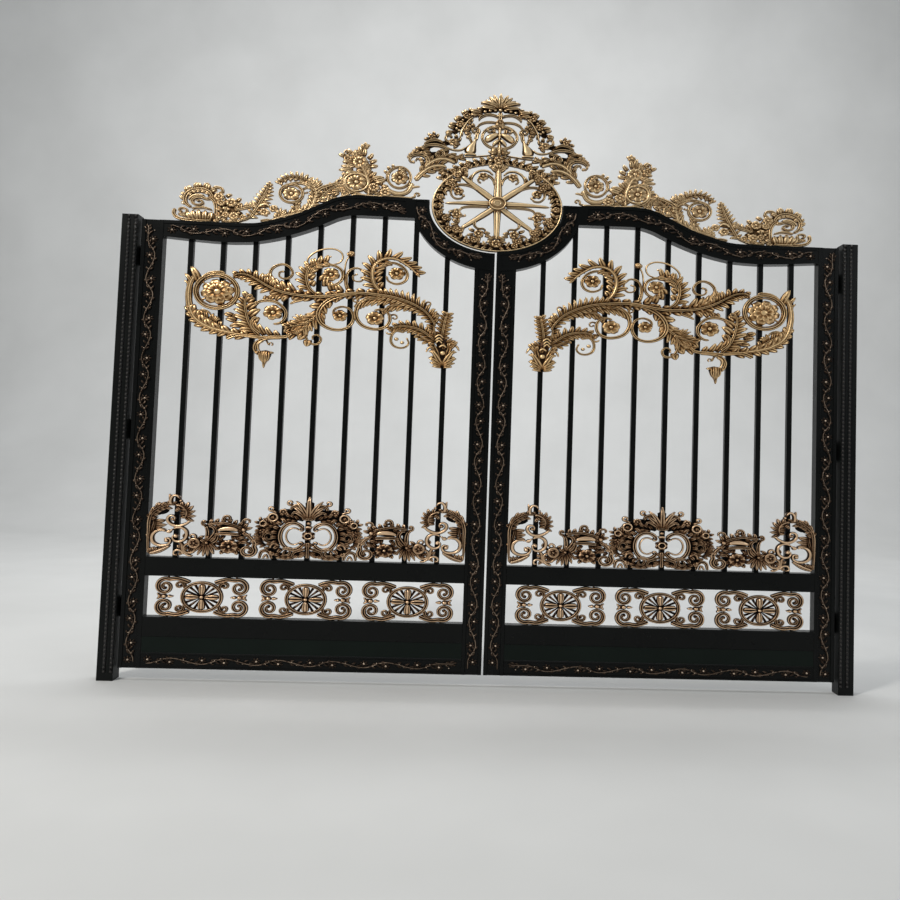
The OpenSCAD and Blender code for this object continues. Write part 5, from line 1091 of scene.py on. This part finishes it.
# ---------------------------------------------------------------- pediment
def pediment_half():
    """Left half of the pediment, about x = 0."""
    o = Shape()
    # dark web behind the bunches
    o.back([(-6, 2968), (-60, 2966), (-110, 2956), (-150, 2940), (-188, 2908), (-218, 2868), (-240, 2828)], [18, 20, 18, 22, 22, 20, 14])
    o.back([(-230, 2800), (-255, 2786), (-300, 2776), (-350, 2770), (-395, 2744), (-430, 2715)], [14, 18, 20, 22, 20, 12])
    o.back([(-400, 2720), (-360, 2712), (-320, 2712), (-280, 2700)], [14, 24, 26, 16])
    # apex: a fan of blades, two long ones on each side that droop
    for a, l, w in ((15, 100, 12.5), (31, 96, 12.5), (48, 92, 12)):
        o.finger((-5, 2974), 90 + a, l, w, 10, 10, 4, 5)
    o.finger((-14, 2980), 146, 96, 13, 38, 10, 7, 5)
    o.finger((-22, 2968), 160, 84, 12, 32, 9, 5, 5)
    for x, z, r in ((-27, 2964, 12), (-54, 2960, 12), (-80, 2954, 11), (-40, 2976, 9), (-66, 2972, 9), (-104, 2946, 10), (-14, 2976, 8)):
        o.bead((x, z), r, 10, 6, tone=1.05)
    o.lobes([(-94, 2960, 150), (-112, 2954, 160), (-90, 2940, 214), (-120, 2940, 220)], 34, 9.5, bend=10)
    # arch and hoops over the oval
    o.stem([(0, 2926), (-36, 2938), (-72, 2938), (-102, 2922), (-112, 2906)], [7, 8, 8, 7, 5], 8, 4, "double", step=7)
    o.stem([(0, 2893), (-36, 2900), (-74, 2898), (-104, 2886), (-122, 2866)], [6, 7, 7, 5], 8, 3, "double", step=7)
    # shoulder: a broad leaf over a bunch of knobs and lobes
    o.finger((-98, 2948), 166, 66, 13, 14, 9, 7, 5)
    o.finger((-108, 2938), 182, 54, 12, 20, 9, 5, 5)
    for x, z, r in ((-128, 2932, 10), (-146, 2944, 10), (-162, 2908, 10), (-196, 2902, 10), (-188, 2886, 9), (-226, 2858, 10), (-212, 2848, 9)):
        o.bead((x, z), r, 9, 7, tone=1.1)
    o.rosette((-172, 2926), 22, 5, boss=7.5, h=8, lift=5)
    o.rosette((-208, 2880), 22, 5, boss=7.5, h=8, lift=6, turn=30)
    o.lobes([(-150, 2950, 116), (-166, 2942, 138), (-184, 2932, 122), (-198, 2912, 156), (-214, 2896, 134), (-226, 2878, 164), (-238, 2858, 146), (-246, 2838, 176), (-254, 2822, 152)],
            [28, 32, 30, 38, 34, 40, 36, 38, 30], 10.5, bend=26, lift=5)
    o.lobes([(-152, 2912, -70), (-168, 2896, -48), (-182, 2876, -64), (-194, 2856, -40), (-204, 2838, -58)], [24, 28, 28, 28, 24], 9.5, bend=-24, lift=4)
    o.stem([(-140, 2922), (-166, 2898), (-186, 2868), (-200, 2838), (-206, 2808)], [3.5, 4.5, 5, 5, 4], 8, 7, "round")
    # spiral on the vase-shaped support
    o.curl((-130, 2850), 23, 19, -56, 330, (7.5, 4.5), 8, 5, 7, inner=0.32, lead=[(-126, 2800), (-120, 2816)])
    o.lobes([(-140, 2868, 96), (-152, 2858, 124), (-156, 2846, 150), (-154, 2832, 178), (-148, 2818, 200)], [28, 32, 34, 32, 28], 10.5, bend=-24, lift=5)
    o.stem([(-150, 2842), (-158, 2822), (-150, 2800), (-142, 2782)], [6, 8, 8, 6], 8, 3, "double", step=6)
    o.stem([(-126, 2806), (-130, 2790), (-138, 2774), (-147, 2756), (-152, 2740), (-154, 2728)], [6, 9, 16, 24, 28, 22], 11, 3, "round", step=6, taper=(3, 2))
    o.stem([(-182, 2722), (-150, 2725), (-118, 2722)], [6, 8, 6], 8, 5, "round", step=7)
    # scroll on the slope, with its flower
    o.curl((-262, 2806), 26, 23, 330, 40, (8, 5), 9, 5, 8, inner=0.5, lead=[(-214, 2800), (-226, 2788)])
    o.rosette((-240, 2784), 24, 5, boss=8, h=8, lift=6)
    o.stem([(-292, 2778), (-272, 2756), (-236, 2744), (-200, 2746), (-172, 2762)], [4, 5, 6, 5], 7, 2, "round")
    o.lobes([(-214, 2792, 60), (-226, 2806, 90), (-206, 2780, 200), (-218, 2770, 220)], 30, 9.5, bend=20)
    # bunch further down
    o.rosette((-350, 2806), 19, 5, boss=7, h=8, lift=6)
    o.lobes([(-352, 2812, 150), (-340, 2816, 100), (-330, 2806, 60), (-366, 2798, 190)], 28, 9)
    o.stem([(-392, 2766), (-362, 2784), (-325, 2790), (-292, 2778)], [6, 9, 10, 7], 9, 6, "double")
    o.stem([(-408, 2742), (-370, 2760), (-322, 2764), (-280, 2752), (-262, 2738)], [6, 9, 10, 9, 6], 9, 6, "double")
    for x, z, r in ((-386, 2760, 10), (-404, 2748, 10), (-372, 2772, 9), (-300, 2776, 9), (-424, 2732, 10)):
        o.bead((x, z), r, 9, 7, tone=1.05)
    o.lobes([(-404, 2740, 160), (-418, 2728, 170), (-430, 2716, 176), (-380, 2748, 190)], [34, 34, 32, 30], 10, bend=16)
    o.curl((-312, 2716), 29, 22, 80, -290, (8, 5), 9, 5, 8, inner=0.34, lead=[(-266, 2740), (-288, 2738)])
    # ribs of the end scroll
    o.lobes([(-344, 2700, 190, 40), (-350, 2712, 176, 50), (-356, 2724, 164, 56), (-362, 2736, 152, 60), (-346, 2688, 206, 30)], 50, 9.5, lift=4)
    o.stem([(-366, 2650), (-366, 2676), (-378, 2698), (-404, 2710), (-434, 2708), (-458, 2694), (-462, 2676), (-446, 2668)], [10, 12, 12, 11, 9, 7, 5], 9, 4, "double", step=7)
    o.bead((-443, 2672), 9, 9, 6, tone=1.1)
    o.lobes([(-372, 2702, 120), (-390, 2712, 132), (-410, 2718, 142), (-430, 2716, 156), (-448, 2708, 170), (-458, 2698, 186)], [28, 28, 28, 28, 24, 20], 9.5, bend=26)
    o.stem([(-376, 2648), (-396, 2658), (-404, 2680), (-424, 2690), (-432, 2676)], [6, 8, 8, 6, 4], 8, 3, "double", step=6)
    o.lobes([(-384, 2662, 150), (-390, 2676, 140), (-380, 2644, 186), (-368, 2636, 200)], [32, 34, 26, 20], 9, bend=-20)
    # branches from the cradle up to the scroll and in to the oval
    o.stem([(-429, 2574), (-416, 2592), (-396, 2614), (-366, 2638), (-334, 2652), (-300, 2656), (-270, 2650)], [13, 15, 16, 15, 12, 8], 9, 4, "triple", taper=(2, 8))
    o.lobes([(-396, 2618, 110, -40), (-376, 2636, 96, -40), (-352, 2650, 84, -44), (-326, 2660, 70, -44), (-300, 2662, 56, -44)], [52, 56, 56, 52, 46], 10, lift=4)
    o.lobes([(-396, 2604, -20, 40), (-372, 2624, -16, 40), (-344, 2640, -22, 40), (-314, 2648, -30, 30)], [44, 50, 48, 42], 10, lift=3)
    o.stem([(-384, 2640), (-352, 2670), (-318, 2688), (-282, 2692), (-248, 2684), (-226, 2672)], [11, 13, 13, 11, 8], 9, 5, "triple")
    o.lobes([(-350, 2678, 92, -40), (-322, 2692, 78, -40), (-292, 2698, 64, -44), (-262, 2694, 46, -44)], [44, 46, 44, 38], 9.5, lift=4)
    o.acanthus([(-330, 2712), (-292, 2722), (-256, 2712), (-224, 2700), (-196, 2706)], [10, 12, 12, 8], [20, 26, 22], 7, 0, (50, 36), 22, (0.1, 0.94))
    o.bead((-330, 2634), 13, 10, 4, tone=0.6)
    o.bead((-300, 2620), 11, 9, 4, tone=0.6)
    o.acanthus([(-300, 2640), (-285, 2620), (-262, 2606), (-244, 2606)], [8, 9, 6], [20, 22, 18], 5, 0, (50, 40), 20, (0.1, 0.9))
    # band of leaves that hugs the top of the wheel
    t = np.radians(np.linspace(89, 146, 30))
    s = np.c_[351 * np.cos(t), (2449 + 246 * np.sin(t)) / o.q]
    o.strip(s, 15, 2, 0, "flat", tone=0.0, taper=(0, 8))
    o.leaves(s, -1, 14, 24, 11, (62, 50), 24, (0.03, 0.97), 4)
    o.leaves(s, 1, 14, 20, 10, (58, 50), 24, (0.03, 0.97), 4)
    for i, a in enumerate((97, 104, 111, 118, 125, 132, 139)):
        c = (352 * math.cos(math.radians(a)), 2449 + 247 * math.sin(math.radians(a)))
        if i % 2:
            o.rosette(c, 17, 5, boss=6, h=8, lift=6, turn=a)
        else:
            o.bead(c, 8.5, 9, 8, tone=1.15)
    o.stem([(-8, 2730), (-46, 2724), (-92, 2718), (-140, 2712), (-182, 2710)], [3.5, 4, 4, 3], 7, 3, "round", tone=0.8)
    return o


def pediment():
    o = Shape()
    h = pediment_half()
    o.join(h)
    o.join(h, flip=True)
    o.finger((0, 2974), 90, 104, 12.5, 0, 10, 7, 5)
    o.bead((0, 2964), 12, 10, 8, tone=1.1)
    o.stem([(0, 2952), (0, 2932), (0, 2905)], [12, 9, 11], 9, 6, "double", taper=(3, 3))
    o.stem([(-22, 2931), (0, 2934), (22, 2931)], [6, 8, 6], 9, 8, "round", step=6)
    o.rosette((0, 2899), 22, 6, boss=8, h=8, lift=5)
    # stalk inside the oval with two broad petals, leaves and spirals
    o.stem([(0, 2736), (0, 2780), (0, 2826), (0, 2876)], [10, 9, 8, 8], 9, 4, "triple", taper=(0, 6))
    for sx in (1, -1):
        m = Shape()
        m.curl((-50, 2854), 21, 16, -20, 320, (7, 4), 8, 4, 7, inner=0.36, lead=[(-4, 2834), (-24, 2838)])
        m.finger((-4, 2836), 204, 86, 21, 34, 11, 5, 6, "round", widths=PETAL_W)
        m.finger((-3, 2806), 226, 56, 11, 20, 10, 8, 5, "round")
        m.finger((-3, 2866), 150, 42, 9, 30, 8, 6, 4)
        m.finger((-3, 2872), 118, 34, 8, 30, 8, 6, 4)
        m.finger((-3, 2764), 200, 44, 9, 10, 8, 3, 4)
        m.lobes([(-8, 2742, 166), (-10, 2736, 190), (-28, 2732, 150)], 36, 9, bend=-10)
        o.join(m, flip=sx > 0)
    o.bead((0, 2830), 13, 11, 9, tone=1.1)
    o.bead((0, 2748), 13, 10, 6, tone=1.05)
    o.rosette((0, 2697), 27, 5, boss=10, h=9, lift=6, turn=90)
    o.lobes([(-16, 2708, 140, 20), (16, 2708, 40, -20), (0, 2714, 90, 0), (-24, 2696, 176, 10), (24, 2696, 4, -10)], 32, 10.5, lift=5)
    return o


def pediment_ring():
    o = Shape()
    o.oval((0, 2820), 91, 61, 7.5, 9, 4, "double", n=64)
    return o


# ---------------------------------------------------------------- running vine in the grooves
def vine(o, pts, half=25, start=40.0, ends=14.0, period=266.0, first=1, plain=False):
    """An undulating stem with a flower in each bend and leaves between them, laid on the floor of a groove."""
    p = o.p(pts, 6.0)
    d = np.r_[0, np.cumsum(np.linalg.norm(np.diff(p, axis=0), axis=1))]
    tan, nrm = frames(p)
    total = d[-1]

    def at(s, off):
        c = np.array([np.interp(s, d, p[:, 0]), np.interp(s, d, p[:, 1])])
        t = np.array([np.interp(s, d, tan[:, 0]), np.interp(s, d, tan[:, 1])])
        return c + np.array([-t[1], t[0]]) * off, math.degrees(math.atan2(t[1], t[0]))

    spots, s, k = [], start, 0
    while s < total - ends - 12:
        spots.append((s, first if k % 2 == 0 else -first))
        s += period * (0.41 if k % 2 == 0 else 0.59)
        k += 1
    if not spots:
        return
    xs = np.arange(ends, total - ends, 10.0)
    ks = np.array([a for a, _ in spots])
    off = np.zeros(len(xs))
    for i, x in enumerate(xs):
        j = np.searchsorted(ks, x)
        if j == 0:
            a, b, f = spots[0][1], spots[0][1], 0
        elif j == len(ks):
            a = b = spots[-1][1]
            f = 0
        else:
            a, b = spots[j - 1][1], spots[j][1]
            f = (x - ks[j - 1]) / (ks[j] - ks[j - 1])
        f = (1 - math.cos(math.pi * f)) / 2
        off[i] = -(a * (1 - f) + b * f) * half * 0.66
    line = np.array([at(x, y)[0] for x, y in zip(xs, off)])
    o.strip(line, 5.0, 7, 0, "small", taper=(8, 8), tone=0.8)
    for j, (s, side) in enumerate(spots):
        c, head = at(s, side * half * 0.24)
        m = 5 if plain else 7
        for i in range(m):
            a = head + 360 / m * i + 18 * j
            b = c + 3.0 * np.array([math.cos(math.radians(a)), math.sin(math.radians(a))])
            o.finger(b, a, half * 0.72, half * 1.62 / m, 0, 5, 0.5, 2.5, "small", n=3, widths=PETAL_W, seen=False, tone=0.7)
        # The flower's bead is given a tone past full so it shows pale: a painted highlight on the gilt bead.
        o.bead_at(c, 7.6, h=11, k=8, m=3, tone=1.9)
        nxt = spots[j + 1][0] if j + 1 < len(spots) else min(total - ends, s + 110)
        gap = nxt - s
        # leaves of the stretch up to the next flower
        for f, sd, ln, an in ((0.2, side, 0.8, 30), (0.36, -side, 0.85, 48), (0.36, side, 1.0, 66), (0.52, side, 1.05, 44), (0.60, -side, 1.05, 58), (0.74, -side, 0.9, 34), (0.78, side, 0.7, 52)):
            x = s + gap * f
            if x > total - ends:
                continue
            y = np.interp(x, xs, off)
            c2, h2 = at(x, y)
            o.finger(c2, h2 + sd * an, half * ln * 1.12, half * 0.32, -sd * 44, 5.5, 0.5, 2.5, "small", n=4, seen=False, tone=0.7)
        if s + gap * 0.5 < total - ends:
            for g, z in ((0.42, -0.35), (0.58, 0.4)):
                c3, h3 = at(s + gap * g, side * half * z)
                # The small berries are also given a tone past full: a painted highlight on them.
                o.bead_at(c3, 4.6, h=8, k=6, m=3, tone=1.2)


def frame_vine(left, plain=False):
    """The vine of one leaf's frame, drawn for the left leaf. The grooves of the two leaves differ a little at the cradle."""
    o = Shape(floor=0.0, bold=(1, 1, 1, 1))
    vine(o, [(-1745.5, 78), (-1745.5, 1200), (-1745.5, 2292)], 29, 30, plain=plain)
    vine(o, [(-56, 78), (-56, 1100), (-56, 2108)], 28, 60, first=-1, plain=plain)
    vine(o, [(-1680, 99), (-900, 99), (-118, 99)], 27, 24, plain=plain)
    x = np.linspace(-1678, -470, 16)
    top = catmull(RAIL_TOP, 8)
    low = catmull(RAIL_LOW, 8)
    z = (np.interp(x, top[:, 0], top[:, 1]) + np.interp(x, low[:, 0], low[:, 1])) / 2
    vine(o, np.c_[x, z], 32, 30, first=-1, plain=plain)
    g = 10 if left else 0
    t = np.radians(np.linspace(181, 263, 12))
    vine(o, np.c_[(390 + g / 2) * np.cos(t), 2449 + (286 + g / 2) * np.sin(t)], 31, 40, plain=plain)
    return o


RAIL_TOP = [(-1691, 2306), (-1560, 2306), (-1400, 2305), (-1300, 2306), (-1220, 2311), (-1136, 2332), (-1038, 2362), (-944, 2404), (-850, 2450), (-790, 2469), (-740, 2475),
            (-600, 2475), (-440, 2472), (-390, 2468)]
RAIL_LOW = [(-1691, 2222), (-1620, 2217), (-1542, 2211), (-1396, 2204), (-1300, 2206), (-1220, 2213), (-1085, 2243), (-950, 2290), (-854, 2333), (-817, 2350), (-764, 2366),
            (-720, 2371), (-600, 2371), (-438, 2370)]


def post_beads():
    """Two columns of small beads down the street face of a post."""
    o = Shape(q=1.0, floor=0.0, bold=(1, 1, 1, 1))
    for x in (-1857, -1823):
        o.strip(o.p([(x, 40), (x, 2312)], 60), 9, 3, 0, "small", tone=0.3)
        for z in np.arange(46, 2316, 21.0):
            o.bead_at((x, z), 8.2, h=9, k=10, m=3)
    return o


# ---------------------------------------------------------------- everything in place
sp, lc, cs, bc, ce, cc = scroll_panel(), lower_crest(), Shape(), band_castings(), crown_end(), crown_scrolls()
corner = corner_piece()
cs.join(corner)
cs.join(corner, dx=-1796, flip=True)
for side, flip in (("left", False), ("right", True)):
    leaf = side + "_leaf"
    piece(side + "_scrollwork", sp, -14, SCROLL_GOLD, leaf, [side + "_scroll_panel"], flip)
    piece(side + "_crest_casting", lc, -14, DIM_GOLD, leaf, [side + "_lower_crest"], flip)
    piece(side + "_corner_castings", cs, -14, DIM_GOLD, leaf, [side + "_corner_scrolls"], flip)
    piece(side + "_band_castings", bc, 10, DIM_GOLD, leaf, [side + "_band_rosettes"], flip)
    piece(side + "_crown_end_casting", ce, 10, CROWN_GOLD, leaf, [side + "_crown_end"], flip)
    piece(side + "_crown_casting", cc, 10, CROWN_GOLD, leaf, [side + "_crown_scrolls"], flip)
    v = frame_vine(not flip)
    w = frame_vine(not flip, plain=True)
    piece(side + "_vine_street_face", v, -16, VINE, leaf, (), flip)
    piece(side + "_vine_inner_face", w, 36, VINE, leaf, (), flip, rear=True)
    piece(side + "_post_beads", post_beads(), -40, BEAD, "posts", (), flip)
piece("medallion_casting", medallion(), 10, GOLD, "right_leaf", ["medallion"])
piece("medallion_hub_casting", medallion_hub(), -14, GOLD, "right_leaf", ["medallion_hub"])
piece("pediment_casting", pediment(), 10, GOLD, "right_leaf", ["pediment"])
piece("pediment_ring_casting", pediment_ring(), 10, GOLD, "right_leaf", ["pediment_ring"])

# paint on the members of the gate
PAINTS = {"_post": POST_PAINT, "_hinge_pins": FRAME_PAINT, "_hinge_knuckles": FRAME_PAINT, "_hinge_stile": FRAME_PAINT, "_meeting_stile": FRAME_PAINT, "_top_rail": FRAME_PAINT,
          "_cradle": FRAME_PAINT, "_mid_rail": FRAME_PAINT, "_band_rail": FRAME_PAINT, "_bottom_rail": FRAME_PAINT, "_kick_panel": PANEL_PAINT, "_bars": BAR_PAINT}
for o in list(bpy.context.scene.objects):
    for tail, mat in PAINTS.items():
        if o.type == "MESH" and o.name in ("left" + tail, "right" + tail):
            o.data.materials.clear()
            o.data.materials.append(mat)

# ---------------------------------------------------------------- studio
def stage_plane(name, corners, material):
    mesh = bpy.data.meshes.new(name)
    mesh.from_pydata(corners, [], [tuple(range(len(corners)))])
    mesh.materials.append(material)
    o = bpy.data.objects.new(name, mesh)
    bpy.context.scene.collection.objects.link(o)
    return o


floor_mat, ft, fb = nodes_of("studio_floor")
fn = noise(ft, 0.8, 3.0)
fr = ramp(ft, [(0.3, (0.62, 0.62, 0.61)), (0.7, (0.68, 0.68, 0.67))], fn.outputs["Fac"])
ft.links.new(fr.outputs[0], fb.inputs["Base Color"])
fb.inputs["Roughness"].default_value = 0.85
section = [(-26.0, 0.0), (7.0, 0.0)] + [(7 + 4 * math.sin(math.radians(a)), 4 - 4 * math.cos(math.radians(a))) for a in range(6, 90, 6)] + [(11.0, 4.0), (11.0, 16.0)]
sweep = bpy.data.meshes.new("studio_sweep")
sweep.from_pydata([(x, y, z) for y, z in section for x in (-26.0, 30.0)], [], [(2 * i, 2 * i + 1, 2 * i + 3, 2 * i + 2) for i in range(len(section) - 1)])
for pol in sweep.polygons:
    pol.use_smooth = True
sweep.materials.append(floor_mat)
so = bpy.data.objects.new("studio_sweep", sweep)
bpy.context.scene.collection.objects.link(so)

world = bpy.data.worlds.new("studio")
world.use_nodes = True
bg = world.node_tree.nodes["Background"]
bg.inputs["Color"].default_value = (0.82, 0.88, 0.92, 1)
bg.inputs["Strength"].default_value = 0.24
bpy.context.scene.world = world
bpy.context.scene.view_settings.view_transform = "Standard"


def area(name, place, aim, size, power, colour=(1, 1, 1), height=None):
    lamp = bpy.data.lights.new(name, "AREA")
    lamp.size = size
    if height:
        lamp.shape = "RECTANGLE"
        lamp.size_y = height
    lamp.energy = power
    lamp.color = colour
    o = bpy.data.objects.new(name, lamp)
    o.location = place
    o.rotation_euler = (Vector(aim) - Vector(place)).to_track_quat("-Z", "Y").to_euler()
    bpy.context.scene.collection.objects.link(o)


area("key", (-3.2, -5.6, 6.6), (1.9, 0, 1.5), 1.4, 400, (1.0, 0.97, 0.92))
area("fill", (8.0, -6.0, 4.0), (1.9, 0, 1.4), 2.5, 70, (0.94, 0.97, 1.0))
area("top", (1.9, 0.5, 8.5), (1.9, 1.5, 0.0), 9.0, 300, (0.97, 0.99, 1.0), 5.0)
area("wall", (1.9, 3.0, 9.0), (1.9, 11.0, 3.0), 12.0, 620, (0.98, 0.99, 1.0), 3.0)

cam = bpy.data.cameras.new("seen")
cam.sensor_width = 36
cam.lens = 36
cam.clip_end = 200
co = bpy.data.objects.new("seen", cam)
cam.shift_x, cam.shift_y = -0.071, -0.05
yaw, pitch, roll = (math.radians(a) for a in (2.548, 3.23, 1.81))
f = Vector((math.sin(yaw) * math.cos(pitch), math.cos(yaw) * math.cos(pitch), math.sin(pitch)))
r = Vector((math.cos(yaw), -math.sin(yaw), 0))
u = r.cross(f)
r2 = r * math.cos(roll) + u * math.sin(roll)
u2 = u * math.cos(roll) - r * math.sin(roll)
co.matrix_world = Matrix(((r2.x, u2.x, -f.x, 1.765), (r2.y, u2.y, -f.y, -4.61), (r2.z, u2.z, -f.z, 1.165), (0, 0, 0, 1)))
bpy.context.scene.collection.objects.link(co)
bpy.context.scene.camera = co
